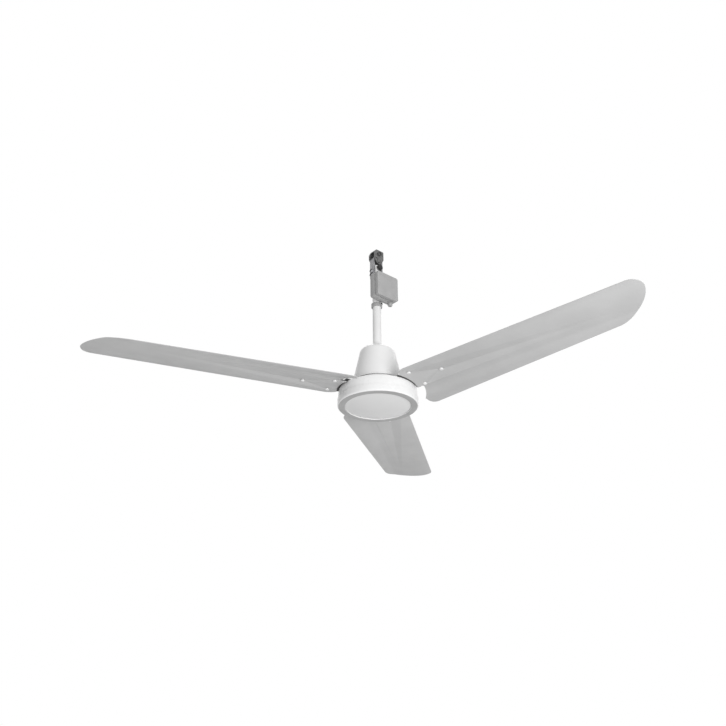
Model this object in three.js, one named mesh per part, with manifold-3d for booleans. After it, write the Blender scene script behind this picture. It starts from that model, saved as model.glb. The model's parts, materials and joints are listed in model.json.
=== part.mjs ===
// Three-blade ceiling fan on a down-rod: ceiling bracket with a rubber-bushed pivot, strap hanger,
// terminal box, bell canopy, outer-rotor motor in a drum, and three creased sheet-metal blades.
// Millimetres, +Z up. The origin is the middle of the bracket's top face, where it meets the
// ceiling; +X runs along the bracket's cheeks and the pivot pin lies along Y.

import * as THREE from "three";
import { mergeVertices } from "three/addons/utils/BufferGeometryUtils.js";
import Module from "manifold-3d";

const wasm = await Module();
wasm.setup();

// ---------------------------------------------------------------- driving dimensions

const FIT = 0.3; // running clearance between separate pieces
const FULL_TURN = 2 * Math.PI;

// ceiling bracket: an inverted U of steel plate
const BRACKET_GAP = 17.2; // between the cheeks
const BRACKET_PLATE = 3; // cheek and web thickness
const CHEEK_HALF_LENGTH = 15.5; // along X
const CHEEK_SIDE_ABOVE_PIVOT = 7; // where the straight side ends, above the pivot
const CHEEK_NOSE_RADIUS = 10; // round nose about the pivot pin
const CHEEK_CUT_BACK = 6.5; // top corner cut back on the -X side
const CHEEK_CUT_DEPTH = 12;
const CHEEK_CORNER = 2; // corner cut off on the +X side
const CHEEK_NOSE_TILT = 0.6; // radians from level to where the nose's round starts
const WEB_HOLE_RADIUS = 2.6; // ceiling screw holes in the web
const WEB_HOLE_OFFSET_X = 2.3;
const WEB_HOLE_OFFSET_Y = 5.6;
const LOCK_HOLE_RADIUS = 1.5; // small hole for a locking wire
const LOCK_HOLE_X = -9.5;
const TIE_ABOVE_PIVOT = 20.5; // tie bolt above the pivot
const PIVOT_DEPTH = 32; // pivot pin below the ceiling
const PIVOT_PIN_RADIUS = 4;
const PIVOT_HEAD_RADIUS = 6.5;
const PIVOT_HEAD_THICKNESS = 1.6;

// hanger strap and down-rod
const ROD_RADIUS = 10.65;
const ROD_WALL = 2.65;
const ROD_LENGTH = 326.5;
const ROD_TOP_DROP = 13.5; // pivot to the rod's upper end
const STRAP_THICKNESS = 4;
const STRAP_WIDTH = 16;
const STRAP_LEG = 52; // pivot to the strap's ends
const STRAP_BOLT_DROP = 32; // pivot to the upper strap bolt
const STRAP_BOLT_PITCH = 12;
const SAFETY_BOLT_DROP = 22; // pivot to the safety bolt
const SAFETY_FLANGE_RADIUS = 8.2;
const SAFETY_FLANGE_THICKNESS = 1.8;

// metric fasteners: shank radius, width across flats, head height
const M6 = { shank: 3, flats: 10, head: 4 };
const M8 = { shank: 4, flats: 13, head: 5.3 };

// terminal box, on the -Y side of the rod
const BOX_HALF_WIDTH = 34.5;
const BOX_BELOW_STRAP = 5;
const BOX_HEIGHT = 68;
const BOX_BACK_OFFSET = 15; // rod axis to the back of the box
const BOX_BASE_DEPTH = 18.5;
const BOX_LID_DEPTH = 10.2;
const BOX_WALL = 2;
const BOX_CORNER = 5;
const BOX_SEAM = 1.6; // how far the base's rim stands back at the seam
const BOX_EDGE = 1.2; // bevel round the lid's face
const LID_SCREW_RADIUS = 1.8;
const LID_POST_RADIUS = 4;
const LID_POST_INSET = 9;
const SADDLE_SCREW_OFFSET = 20;
const SADDLE_SCREW_RADIUS = 1.8;
const SADDLE_HEIGHT = 14;
const SADDLE_BAND = 2;
const SADDLE_EAR_END = 25;
const CAPACITOR = { length: 38, depth: 15, height: 26 };
const TERMINAL_BLOCK = { length: 34, depth: 13, height: 15 };
const TERMINAL_WAYS = 3;
const GROMMET_X = 23;
const GROMMET_RADIUS = 5;
const GROMMET_BORE = 3;
const GROMMET_FLANGE = 1.5;
const COLLAR_HEIGHT = 10;
const COLLAR_WALL = 3;
const COLLAR_BOSS_RADIUS = 5;
const COLLAR_BOSS_LENGTH = 4;
const COLLAR_SCREW_RADIUS = 2.4;
const COLLAR_SOCKET_RADIUS = 1.3;

// bell canopy
const CANOPY_OVERHANG = 2.2; // how far its base stands out past the neck
const CANOPY_TAPER = 17.5; // how much narrower the shoulder is than the base
const CANOPY_SIDE_HEIGHT = 79.7; // base to the shoulder
const CANOPY_FILLET = 15.7;
const CANOPY_CROWN_RISE = 1.6; // the crown's slight cone up to the rod hole
const CANOPY_WALL = 1.5;
const CANOPY_ROD_CLEARANCE = 0.85;
const GRIP_RING_THICKNESS = 4.5; // radial
const GRIP_RING_HEIGHT = 6;

// motor: fixed shaft and stator inside, rotor and housing turning outside
const SHAFT_RADIUS = 7.6;
const SHAFT_BORE = 3.5;
const SHAFT_OVERLAP = 22; // inside the down-rod
const COUPLER_BOLT_RISE = 11; // above the rod's lower end
const ROTOR_CAGE_WALL = 22.2;
const STATOR_HEIGHT = 22;
const STATOR_TEETH = 12;
const SLOT_WIDTH = 8;
const SLOT_DEPTH = 26;
const AIR_GAP = 0.6;
const WINDING_INSET = 8; // stator's rim to the windings
const WINDING_WIDTH = 30;
const UPPER_WINDING_HEIGHT = 3.6;
const LOWER_WINDING_HEIGHT = 5.2;
const BEARING_RADIUS = 16;
const BEARING_HEIGHT = 6;
const BEARING_BOSS_WALL = 3.2;

// rotor housing
const HOUSING_TOP_RADIUS = 95.6;
const HOUSING_FLARE = 1.2; // how much wider the upper shell is at its seam
const CUP_STEP = 1.5; // how far the cup's wall stands out past that seam
const CUP_WALL_HEIGHT = 8; // the cup's straight wall, from the seam down
const CUP_FILLET_HEIGHT = 11; // the curve from the wall to the flat ring
const CUP_FILLET_WIDTH = 8.3;
const RIM_WIDTH = 10; // flat ring on the underside
const RECESS = 3.5; // recess inside the flat ring
const SHELL = 2.5;
const TOP_FILLET = 3;
const NECK_RADIUS = 59.5; // raised neck under the canopy
const NECK_TOP_GAP = 1.9; // canopy to neck
const NECK_HEIGHT = 18.9;
const NECK_BELOW_ROD = 9.5; // rod's lower end to the neck's top
const WINDING_ROOM = 2.3; // lower winding to the cup's floor
const NECK_SLOT = { width: 7, height: 2, count: 6 };
const CAP_EDGE = 3; // flat edge round the dome
const CAP_SAG = 9;
const CAP_LIP = 2;
const CAP_WALL = 1.8;

// blades: a flat main panel and a strip bent down along a straight crease
const SWEEP_RADIUS = 700;
const BLADE_COUNT = 3;
const BLADE_REST_ANGLE = 38.6; // degrees, first blade from +X
const BLADE_THICKNESS = 1.2;
const BLADE_ABOVE_HOUSING = 5.8; // underside on the blade's axis at the pitch radius
const BLADE_PITCH_RADIUS = 400;
const BLADE_PITCH = -0.0881; // rise per mm towards the trailing side
const BLADE_RISE = 0.0287; // rise per mm outwards
const LEADING_EDGE = -53.5; // offsets from the blade's axis
const CREASE = 55.4;
const CREASE_HALF_WIDTH = 4; // half the width of the bend, across the blade
const STRIP_SLOPE = -0.289; // rise per mm across the bent strip
const TRAILING_AT_PITCH_RADIUS = 89.9;
const TRAILING_TAPER = -0.0522;
const TIP_LEADING_CORNER = 25;
const TIP_SWEEP_LENGTH = 98; // how far in the tip's long curve starts
const TAB_GAP = 5.1; // housing rim to the blade's inner edge
const TAB_LEADING = -48.2;
const TAB_TRAILING = 38.6;
const ROOT_BEVEL_GAP = 14.4; // housing rim to where the leading edge widens
const ROOT_BEVEL_LENGTH = 9;
const CUT_OUT_GAP = 21.9; // housing rim to the inner edge of the bent strip
const STRIP_CORNER = 11;
const TAB_CORNER = 4;
const ROOT_SCREW_GAP = 24.4; // housing rim to the two screws at the root
const ROOT_SCREW_LEADING = -31; // their offsets from the blade's axis
const ROOT_SCREW_TRAILING = 31.5;
const ARM_SCREW_GAP = 95.4; // housing rim to the screw at the iron's tip
const ARM_SCREW_ACROSS = 0.3;
const BLADE_SCREW_RADIUS = 2.5;
const BLADE_SCREW_HEAD = 5.2;
const BLADE_SCREW_HEAD_HEIGHT = 2.6;
const MARK_HOLE_GAP = 88.4; // housing rim to the small round hole beside it
const MARK_HOLE_ACROSS = -2.5;
const MARK_HOLE_RADIUS = 1.1;

// blade irons: what carries each blade on the housing's top
const IRON_THICKNESS = 2.5;
const IRON_FOOT_LENGTH = 25.6; // how far the foot reaches in over the housing's top
const IRON_WALL_GAP = 2.4; // housing rim to the lip
const IRON_WALL_DROP = 4;
const IRON_TIP_RADIUS = 12;
const IRON_SCREW_INSET = 13.6; // housing rim to the foot's screws
const IRON_SCREW_SPREAD = 16; // degrees either side of the blade's axis
const IRON_SCREW_RADIUS = 2.4;

// depths below the ceiling, from the top down: each hangs on the one before it
const CHEEK_SIDE_BOTTOM = PIVOT_DEPTH - CHEEK_SIDE_ABOVE_PIVOT;
const LOCK_HOLE_DEPTH = CHEEK_SIDE_BOTTOM;
const TIE_DEPTH = PIVOT_DEPTH - TIE_ABOVE_PIVOT;
const ROD_TOP_DEPTH = PIVOT_DEPTH + ROD_TOP_DROP;
const ROD_BOTTOM_DEPTH = ROD_TOP_DEPTH + ROD_LENGTH;
const STRAP_END_DEPTH = PIVOT_DEPTH + STRAP_LEG;
const STRAP_BOLT_DEPTHS = [0, 1].map((i) => PIVOT_DEPTH + STRAP_BOLT_DROP + i * STRAP_BOLT_PITCH);
const SAFETY_BOLT_DEPTH = PIVOT_DEPTH + SAFETY_BOLT_DROP;
const BOX_TOP_DEPTH = STRAP_END_DEPTH + BOX_BELOW_STRAP;
const NECK_TOP_DEPTH = ROD_BOTTOM_DEPTH + NECK_BELOW_ROD;
const CANOPY_BASE_DEPTH = NECK_TOP_DEPTH - NECK_TOP_GAP;
const CANOPY_SHOULDER_DEPTH = CANOPY_BASE_DEPTH - CANOPY_SIDE_HEIGHT;
const HOUSING_TOP_DEPTH = NECK_TOP_DEPTH + NECK_HEIGHT;
const STATOR_TOP_DEPTH = HOUSING_TOP_DEPTH + SHELL + UPPER_WINDING_HEIGHT + 4 * FIT;
const STATOR_BOTTOM_DEPTH = STATOR_TOP_DEPTH + STATOR_HEIGHT;
const CUP_FLOOR_DEPTH = STATOR_BOTTOM_DEPTH + FIT + LOWER_WINDING_HEIGHT + WINDING_ROOM;
const HOUSING_BOTTOM_DEPTH = CUP_FLOOR_DEPTH + SHELL + RECESS;
const CUP_FILLET_DEPTH = HOUSING_BOTTOM_DEPTH - CUP_FILLET_HEIGHT;
const HOUSING_SEAM_DEPTH = CUP_FILLET_DEPTH - CUP_WALL_HEIGHT;
const BLADE_MID_DEPTH = HOUSING_TOP_DEPTH - BLADE_ABOVE_HOUSING;

// radii of what is fitted to the neck and to the housing
const CANOPY_BASE_RADIUS = NECK_RADIUS + CANOPY_OVERHANG;
const CANOPY_SHOULDER_RADIUS = CANOPY_BASE_RADIUS - CANOPY_TAPER;
const HOUSING_SEAM_RADIUS = HOUSING_TOP_RADIUS + HOUSING_FLARE; // upper shell at the seam
const CUP_RADIUS = HOUSING_SEAM_RADIUS + CUP_STEP;
const RIM_OUTER = CUP_RADIUS - CUP_FILLET_WIDTH;
const RIM_INNER = RIM_OUTER - RIM_WIDTH;
const CAP_RADIUS = RIM_INNER - 2 * FIT; // domed cap under the cup
const CUT_OUT_RADIUS = HOUSING_TOP_RADIUS + CUT_OUT_GAP;
const IRON_INNER_RADIUS = HOUSING_TOP_RADIUS - IRON_FOOT_LENGTH;
const IRON_WALL_INNER = HOUSING_TOP_RADIUS + IRON_WALL_GAP;
const IRON_SCREW_RADIUS_FROM_AXIS = HOUSING_TOP_RADIUS - IRON_SCREW_INSET;
const STATOR_RADIUS = HOUSING_TOP_RADIUS - SHELL - FIT - ROTOR_CAGE_WALL - AIR_GAP;
const WINDING_OUTER = STATOR_RADIUS - WINDING_INSET;
const WINDING_INNER = WINDING_OUTER - WINDING_WIDTH;

// places on a blade: along runs out from the shaft, across towards the trailing side
const ROOT_BEVEL_START = HOUSING_TOP_RADIUS + ROOT_BEVEL_GAP;
const BLADE_SCREW_SPOTS = [
  { along: HOUSING_TOP_RADIUS + ROOT_SCREW_GAP, across: ROOT_SCREW_LEADING },
  { along: HOUSING_TOP_RADIUS + ROOT_SCREW_GAP, across: ROOT_SCREW_TRAILING },
  { along: HOUSING_TOP_RADIUS + ARM_SCREW_GAP, across: ARM_SCREW_ACROSS },
];
const MARK_HOLE = { along: HOUSING_TOP_RADIUS + MARK_HOLE_GAP, across: MARK_HOLE_ACROSS };

// how far the tools that cut and limit the blades and irons reach, well past what they shape
const SHEET_START = 60; // from the shaft
const SHEET_LEADING_REACH = -80; // across the blade
const SHEET_TRAILING_REACH = 140;
const TOOL_HALF_HEIGHT = 60;
const BLADE_OVERRUN = 40;
const ARM_OVERRUN = 39; // past the screw at the iron's tip
const FOOT_TOOL_START = 20;
const FOOT_TOOL_END = 130;
const FOOT_TOOL_HALF_HEIGHT = 20;
const IRON_EDGE_INSET = 2; // how far an iron's sides stand in from the tab's
const IRON_LEADING_TAPER = 4;
const IRON_PLAY = 0.1;

// facets
const ROUND_FINE = 40;
const ROUND_MEDIUM = 24;
const ROUND_SMALL = 10;
const ROUND_TINY = 8;

// ---------------------------------------------------------------- finishes

const paint = (color, roughness) => ({ color, roughness, metalness: 0.0 });
const metal = (color, roughness) => ({ color, roughness, metalness: 0.9 });
const FINISH = {
  whiteEnamel: paint(0xeeeeee, 0.35),
  bladeEnamel: paint(0xd9d9d9, 0.4),
  rodEnamel: paint(0xe4e4e4, 0.35),
  boxPlastic: paint(0xc4c4c4, 0.55),
  darkSteel: metal(0x5a5a5a, 0.5),
  zincSteel: metal(0xb8b8b8, 0.35),
  blackSteel: metal(0x2e2e2e, 0.5),
  rubber: paint(0x222222, 0.8),
  copper: metal(0xb06a3a, 0.4),
  laminatedSteel: metal(0x7c7f82, 0.5),
  capacitorPlastic: paint(0x2a2c30, 0.5),
  terminalNylon: paint(0xe6e2d6, 0.6),
};

// ---------------------------------------------------------------- geometry helpers

function toSolid(geometry) {
  const bare = geometry.clone();
  for (const name of Object.keys(bare.attributes)) {
    if (name !== "position") bare.deleteAttribute(name);
  }
  const merged = mergeVertices(bare, 1e-4);
  return new wasm.Manifold(
    new wasm.Mesh({
      numProp: 3,
      vertProperties: new Float32Array(merged.attributes.position.array),
      triVerts: new Uint32Array(merged.index.array),
    }),
  );
}

function toGeometry(solid) {
  const mesh = solid.getMesh();
  const geometry = new THREE.BufferGeometry();
  geometry.setAttribute("position", new THREE.BufferAttribute(mesh.vertProperties, 3));
  geometry.setIndex(new THREE.BufferAttribute(mesh.triVerts, 1));
  geometry.computeVertexNormals();
  return geometry;
}

function cut(geometry, ...tools) {
  let solid = toSolid(geometry);
  for (const tool of tools) solid = solid.subtract(toSolid(tool));
  return toGeometry(solid);
}

function join(first, ...others) {
  let solid = toSolid(first);
  for (const other of others) solid = solid.add(toSolid(other));
  return toGeometry(solid);
}

function common(first, second) {
  return toGeometry(toSolid(first).intersect(toSolid(second)));
}

function block(x0, x1, y0, y1, z0, z1) {
  const box = new THREE.BoxGeometry(x1 - x0, y1 - y0, z1 - z0);
  return box.translate((x0 + x1) / 2, (y0 + y1) / 2, (z0 + z1) / 2);
}

// a solid of revolution about Z from an outline of [radius, z] points, listed either way round
function turned(outline, segments) {
  const points = outline.map(([radius, z]) => new THREE.Vector2(radius, z));
  if (THREE.ShapeUtils.area(points) < 0) points.reverse();
  const onAxis = points[0].x === 0 && points.at(-1).x === 0;
  if (!onAxis) points.push(points[0].clone());
  return new THREE.LatheGeometry(points, segments).rotateX(Math.PI / 2);
}

function disc(radius, z0, z1, segments) {
  return turned([[0, z0], [radius, z0], [radius, z1], [0, z1]], segments);
}

function tube(inner, outer, z0, z1, segments) {
  return turned([[inner, z0], [outer, z0], [outer, z1], [inner, z1]], segments);
}

const alongX = (geometry) => geometry.rotateY(Math.PI / 2);
const alongY = (geometry) => geometry.rotateX(-Math.PI / 2);

// a rod-shaped cutting tool or shank along X or Y, centred on the Z axis at a given depth
const crossX = (radius, x0, x1, depth) =>
  alongX(disc(radius, x0, x1, ROUND_SMALL)).translate(0, 0, -depth);
const crossY = (radius, y0, y1, depth) =>
  alongY(disc(radius, y0, y1, ROUND_SMALL)).translate(0, 0, -depth);

function hexPrism(flats, z0, z1) {
  return disc(flats / Math.sqrt(3), z0, z1, 6);
}

// a hex bolt along +Z with its head below z = 0 and its shank's end at z = length
function hexBolt(size, length) {
  const overlap = 0.5;
  return join(
    hexPrism(size.flats, -size.head, 0),
    disc(size.shank, -overlap, length, ROUND_SMALL),
  );
}

// a nut along Z from z = 0, clear of the shank that passes through it
function hexNut(size) {
  return cut(
    hexPrism(size.flats, 0, size.head),
    disc(size.shank + FIT, -1, size.head + 1, ROUND_SMALL),
  );
}

// a pan-head screw along -Z: head above z = 0, shank below
function panScrew(shank, head, headHeight, length) {
  return turned(
    [
      [0, -length],
      [shank, -length],
      [shank, 0],
      [head, 0],
      [head * 0.7, headHeight],
      [0, headHeight],
    ],
    ROUND_TINY,
  );
}

// a flat shape in the X-Z plane given thickness along Y
function platedXZ(shape, y0, y1, curveSegments) {
  const depth = y1 - y0;
  const solid = new THREE.ExtrudeGeometry(shape, { depth, bevelEnabled: false, curveSegments });
  return solid.rotateX(Math.PI / 2).translate(0, y1, 0);
}

// a flat shape in the X-Y plane given thickness along Z
function platedXY(shape, z0, z1, curveSegments) {
  const depth = z1 - z0;
  const solid = new THREE.ExtrudeGeometry(shape, { depth, bevelEnabled: false, curveSegments });
  return solid.translate(0, 0, z0);
}

function roundedRect(halfWidth, bottom, top, radius) {
  const shape = new THREE.Shape();
  shape.moveTo(-halfWidth + radius, bottom);
  shape.lineTo(halfWidth - radius, bottom);
  shape.absarc(halfWidth - radius, bottom + radius, radius, -Math.PI / 2, 0);
  shape.lineTo(halfWidth, top - radius);
  shape.absarc(halfWidth - radius, top - radius, radius, 0, Math.PI / 2);
  shape.lineTo(-halfWidth + radius, top);
  shape.absarc(-halfWidth + radius, top - radius, radius, Math.PI / 2, Math.PI);
  shape.lineTo(-halfWidth, bottom + radius);
  shape.absarc(-halfWidth + radius, bottom + radius, radius, Math.PI, 1.5 * Math.PI);
  return shape;
}

function arcPoints(centreRadius, centreZ, radius, from, to, steps) {
  return Array.from({ length: steps + 1 }, (_, i) => {
    const angle = from + ((to - from) * i) / steps;
    return [centreRadius + radius * Math.cos(angle), centreZ + radius * Math.sin(angle)];
  });
}

const fan = new THREE.Group();

function place(name, geometry, finish, parent = fan) {
  const mesh = new THREE.Mesh(geometry, new THREE.MeshStandardMaterial(finish));
  mesh.name = name;
  parent.add(mesh);
  return mesh;
}

// ---------------------------------------------------------------- ceiling bracket

const CHEEK_INNER = BRACKET_GAP / 2;
const CHEEK_OUTER = CHEEK_INNER + BRACKET_PLATE;
const WEB_LEFT = -(CHEEK_HALF_LENGTH - CHEEK_CUT_BACK);
const WEB_RIGHT = CHEEK_HALF_LENGTH - CHEEK_CORNER;

function cheekShape() {
  const [noseStart, noseEnd] = [Math.PI + CHEEK_NOSE_TILT, FULL_TURN - CHEEK_NOSE_TILT];
  const shape = new THREE.Shape();
  shape.moveTo(WEB_LEFT, 0);
  shape.lineTo(-CHEEK_HALF_LENGTH, -CHEEK_CUT_DEPTH);
  shape.lineTo(-CHEEK_HALF_LENGTH, -CHEEK_SIDE_BOTTOM);
  shape.absarc(0, -PIVOT_DEPTH, CHEEK_NOSE_RADIUS, noseStart, noseEnd);
  shape.lineTo(CHEEK_HALF_LENGTH, -CHEEK_SIDE_BOTTOM);
  shape.lineTo(CHEEK_HALF_LENGTH, -CHEEK_CORNER);
  shape.lineTo(WEB_RIGHT, 0);
  return shape;
}

function ceilingBracket() {
  const cheek = (y0, y1) => platedXZ(cheekShape(), y0, y1, 6);
  const web = block(WEB_LEFT, WEB_RIGHT, -CHEEK_OUTER + 1, CHEEK_OUTER - 1, -BRACKET_PLATE, 0);
  const through = (radius, x, depth) =>
    crossY(radius, -CHEEK_OUTER - 1, CHEEK_OUTER + 1, depth).translate(x, 0, 0);
  const screwHole = (y) =>
    disc(WEB_HOLE_RADIUS, -BRACKET_PLATE - 1, 1, ROUND_SMALL).translate(WEB_HOLE_OFFSET_X, y, 0);
  return cut(
    join(web, cheek(-CHEEK_OUTER, -CHEEK_INNER), cheek(CHEEK_INNER, CHEEK_OUTER)),
    through(M6.shank + FIT, 0, TIE_DEPTH),
    through(PIVOT_PIN_RADIUS + FIT, 0, PIVOT_DEPTH),
    through(LOCK_HOLE_RADIUS, LOCK_HOLE_X, LOCK_HOLE_DEPTH),
    screwHole(WEB_HOLE_OFFSET_Y),
    screwHole(-WEB_HOLE_OFFSET_Y),
  );
}

function pivotPin() {
  const shoulder = CHEEK_OUTER + FIT;
  const end = shoulder + PIVOT_HEAD_THICKNESS;
  const outline = [
    [0, -end],
    [PIVOT_HEAD_RADIUS - 1, -end],
    [PIVOT_HEAD_RADIUS, -end + 1],
    [PIVOT_HEAD_RADIUS, -shoulder],
    [PIVOT_PIN_RADIUS, -shoulder],
  ];
  const mirrored = outline.map(([radius, z]) => [radius, -z]).reverse();
  return alongY(turned([...outline, ...mirrored], ROUND_SMALL + 4)).translate(0, 0, -PIVOT_DEPTH);
}

const STRAP_INNER = ROD_RADIUS + FIT;
const STRAP_OUTER = STRAP_INNER + STRAP_THICKNESS;

function buildBracket() {
  place("ceiling_bracket", ceilingBracket(), FINISH.darkSteel);
  const tieShoulder = CHEEK_OUTER + FIT;
  const tieBolt = alongY(hexBolt(M6, 2 * tieShoulder + M6.head + 2));
  place("bracket_tie_bolt", tieBolt.translate(0, -tieShoulder, -TIE_DEPTH), FINISH.darkSteel);
  const tieNut = alongY(hexNut(M6)).translate(0, tieShoulder, -TIE_DEPTH);
  place("bracket_tie_nut", tieNut, FINISH.darkSteel);
  place("pivot_pin", pivotPin(), FINISH.darkSteel);
  const halfSleeve = CHEEK_INNER - FIT;
  const sleeve = tube(PIVOT_PIN_RADIUS + FIT, STRAP_INNER - FIT, -halfSleeve, halfSleeve, 32);
  place("pivot_sleeve", alongY(sleeve).translate(0, 0, -PIVOT_DEPTH), FINISH.rubber);
}

// ---------------------------------------------------------------- hanger and down-rod

function hangerStrap() {
  const shape = new THREE.Shape();
  shape.moveTo(-STRAP_OUTER, -STRAP_END_DEPTH);
  shape.lineTo(-STRAP_INNER, -STRAP_END_DEPTH);
  shape.absarc(0, -PIVOT_DEPTH, STRAP_INNER, Math.PI, 0, true);
  shape.lineTo(STRAP_INNER, -STRAP_END_DEPTH);
  shape.lineTo(STRAP_OUTER, -STRAP_END_DEPTH);
  shape.absarc(0, -PIVOT_DEPTH, STRAP_OUTER, 0, Math.PI);
  const strap = platedXZ(shape, -STRAP_WIDTH / 2, STRAP_WIDTH / 2, 12);
  const holes = STRAP_BOLT_DEPTHS.map((depth) =>
    crossX(M6.shank + FIT, -STRAP_OUTER - 1, STRAP_OUTER + 1, depth),
  );
  return cut(strap, ...holes);
}

function downRod() {
  const bore = ROD_RADIUS - ROD_WALL;
  const reach = ROD_RADIUS + 1;
  const rod = tube(bore, ROD_RADIUS, -ROD_BOTTOM_DEPTH, -ROD_TOP_DEPTH, ROUND_MEDIUM);
  const crossHoles = STRAP_BOLT_DEPTHS.map((depth) => crossX(M6.shank + FIT, -reach, reach, depth));
  return cut(
    rod,
    ...crossHoles,
    crossY(M8.shank + FIT, -reach, reach, SAFETY_BOLT_DEPTH),
    crossX(M6.shank + FIT, -reach, reach, ROD_BOTTOM_DEPTH - COUPLER_BOLT_RISE),
  );
}

function flangedNut(size) {
  return cut(
    join(
      disc(SAFETY_FLANGE_RADIUS, 0, SAFETY_FLANGE_THICKNESS, 24),
      hexPrism(size.flats, SAFETY_FLANGE_THICKNESS - 0.5, SAFETY_FLANGE_THICKNESS + size.head),
    ),
    disc(size.shank + FIT, -1, SAFETY_FLANGE_THICKNESS + size.head + 1, ROUND_SMALL),
  );
}

function buildHanger() {
  place("hanger_strap", hangerStrap(), FINISH.zincSteel);
  const shoulder = STRAP_OUTER + FIT;
  const names = ["upper", "lower"];
  STRAP_BOLT_DEPTHS.forEach((depth, i) => {
    const bolt = alongX(hexBolt(M6, 2 * shoulder + M6.head + 2)).translate(-shoulder, 0, -depth);
    place(`strap_bolt_${names[i]}`, bolt, FINISH.zincSteel);
    const nut = alongX(hexNut(M6)).translate(shoulder, 0, -depth);
    place(`strap_nut_${names[i]}`, nut, FINISH.zincSteel);
  });
  place("down_rod", downRod(), FINISH.rodEnamel);
  const rodSide = ROD_RADIUS + FIT;
  const nutReach = SAFETY_FLANGE_THICKNESS + M8.head + 1;
  const safetyBolt = alongY(hexBolt(M8, 2 * rodSide + nutReach)).rotateZ(Math.PI);
  place("safety_bolt", safetyBolt.translate(0, rodSide, -SAFETY_BOLT_DEPTH), FINISH.blackSteel);
  const safetyNut = alongY(flangedNut(M8)).rotateZ(Math.PI);
  place("safety_nut", safetyNut.translate(0, -rodSide, -SAFETY_BOLT_DEPTH), FINISH.blackSteel);
}

// ---------------------------------------------------------------- terminal box

const BOX_BOTTOM_DEPTH = BOX_TOP_DEPTH + BOX_HEIGHT;
const BOX_MID_DEPTH = BOX_TOP_DEPTH + BOX_HEIGHT / 2;
const BOX_SEAM_Y = -(BOX_BACK_OFFSET + BOX_BASE_DEPTH);
const BOX_FACE_Y = BOX_SEAM_Y - FIT - BOX_LID_DEPTH;
const LID_SCREW_DEPTH = BOX_BOTTOM_DEPTH - LID_POST_INSET;
const BOX_FLOOR_Y = -(BOX_BACK_OFFSET + BOX_WALL);
const GROMMET_Y = (BOX_FLOOR_Y + BOX_SEAM_Y) / 2;

function boxOutline(inset) {
  return roundedRect(
    BOX_HALF_WIDTH - inset,
    -BOX_BOTTOM_DEPTH + inset,
    -BOX_TOP_DEPTH - inset,
    Math.max(BOX_CORNER - inset, 1),
  );
}

function boxBase() {
  const back = -BOX_BACK_OFFSET;
  const rimStart = BOX_SEAM_Y + 3;
  const shell = cut(
    join(
      platedXZ(boxOutline(0), rimStart, back, 3),
      platedXZ(boxOutline(BOX_SEAM), BOX_SEAM_Y, rimStart + 0.5, 3),
    ),
    platedXZ(boxOutline(BOX_WALL + BOX_SEAM), BOX_SEAM_Y - 1, BOX_FLOOR_Y, 2),
  );
  const post = crossY(LID_POST_RADIUS, BOX_SEAM_Y + FIT, BOX_FLOOR_Y + 0.5, LID_SCREW_DEPTH);
  const saddleHole = (x) =>
    crossY(SADDLE_SCREW_RADIUS + FIT, BOX_FLOOR_Y - 1, back + 1, BOX_MID_DEPTH).translate(x, 0, 0);
  return cut(
    join(shell, post),
    crossY(LID_SCREW_RADIUS + FIT, BOX_SEAM_Y - 1, back + 1, LID_SCREW_DEPTH),
    saddleHole(SADDLE_SCREW_OFFSET),
    saddleHole(-SADDLE_SCREW_OFFSET),
    disc(GROMMET_RADIUS + FIT, -BOX_BOTTOM_DEPTH - 1, -BOX_BOTTOM_DEPTH + 6, ROUND_SMALL).translate(
      GROMMET_X,
      GROMMET_Y,
      0,
    ),
  );
}

function boxLid() {
  const openY = BOX_SEAM_Y - FIT;
  const outer = new THREE.ExtrudeGeometry(boxOutline(BOX_EDGE), {
    depth: BOX_LID_DEPTH - BOX_EDGE,
    bevelEnabled: true,
    bevelThickness: BOX_EDGE,
    bevelSize: BOX_EDGE,
    bevelSegments: 2,
    curveSegments: 3,
  });
  outer.rotateX(Math.PI / 2).translate(0, openY, 0);
  const keep = block(-60, 60, openY - BOX_LID_DEPTH - 1, openY, -BOX_BOTTOM_DEPTH - 5, -60);
  const hollow = platedXZ(boxOutline(BOX_WALL), BOX_FACE_Y + BOX_WALL, openY + 1, 2);
  const post = crossY(LID_POST_RADIUS, BOX_FACE_Y + 1, openY - FIT, LID_SCREW_DEPTH);
  const bore = crossY(LID_SCREW_RADIUS + FIT, BOX_FACE_Y + 3, openY + 1, LID_SCREW_DEPTH);
  return cut(join(cut(common(outer, keep), hollow), post), bore);
}

function saddle() {
  const inner = ROD_RADIUS + FIT;
  const outer = inner + SADDLE_BAND;
  const earY = -BOX_BACK_OFFSET + FIT;
  const z0 = -BOX_MID_DEPTH - SADDLE_HEIGHT / 2;
  const z1 = z0 + SADDLE_HEIGHT;
  const halfBand = cut(
    join(
      disc(outer, z0, z1, ROUND_MEDIUM),
      block(-outer, outer, earY, 0, z0, z1),
      block(-SADDLE_EAR_END, SADDLE_EAR_END, earY, earY + SADDLE_BAND, z0, z1),
    ),
    disc(inner, z0 - 1, z1 + 1, ROUND_MEDIUM),
    block(-inner, inner, earY - 1, 0, z0 - 1, z1 + 1),
  );
  const drill = [SADDLE_SCREW_RADIUS + FIT, earY - 1, earY + SADDLE_BAND + 1, BOX_MID_DEPTH];
  const hole = (x) => crossY(...drill).translate(x, 0, 0);
  const trimmed = cut(halfBand, block(-60, 60, -60, earY, z0 - 2, z1 + 2));
  return cut(trimmed, hole(SADDLE_SCREW_OFFSET), hole(-SADDLE_SCREW_OFFSET));
}

function capacitor() {
  const shape = roundedRect(CAPACITOR.length / 2, 0, CAPACITOR.height, 3);
  const y1 = BOX_FLOOR_Y - FIT;
  const top = -BOX_TOP_DEPTH - BOX_WALL - BOX_SEAM - 3;
  return platedXZ(shape, y1 - CAPACITOR.depth, y1, 4).translate(0, 0, top - CAPACITOR.height);
}

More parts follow.
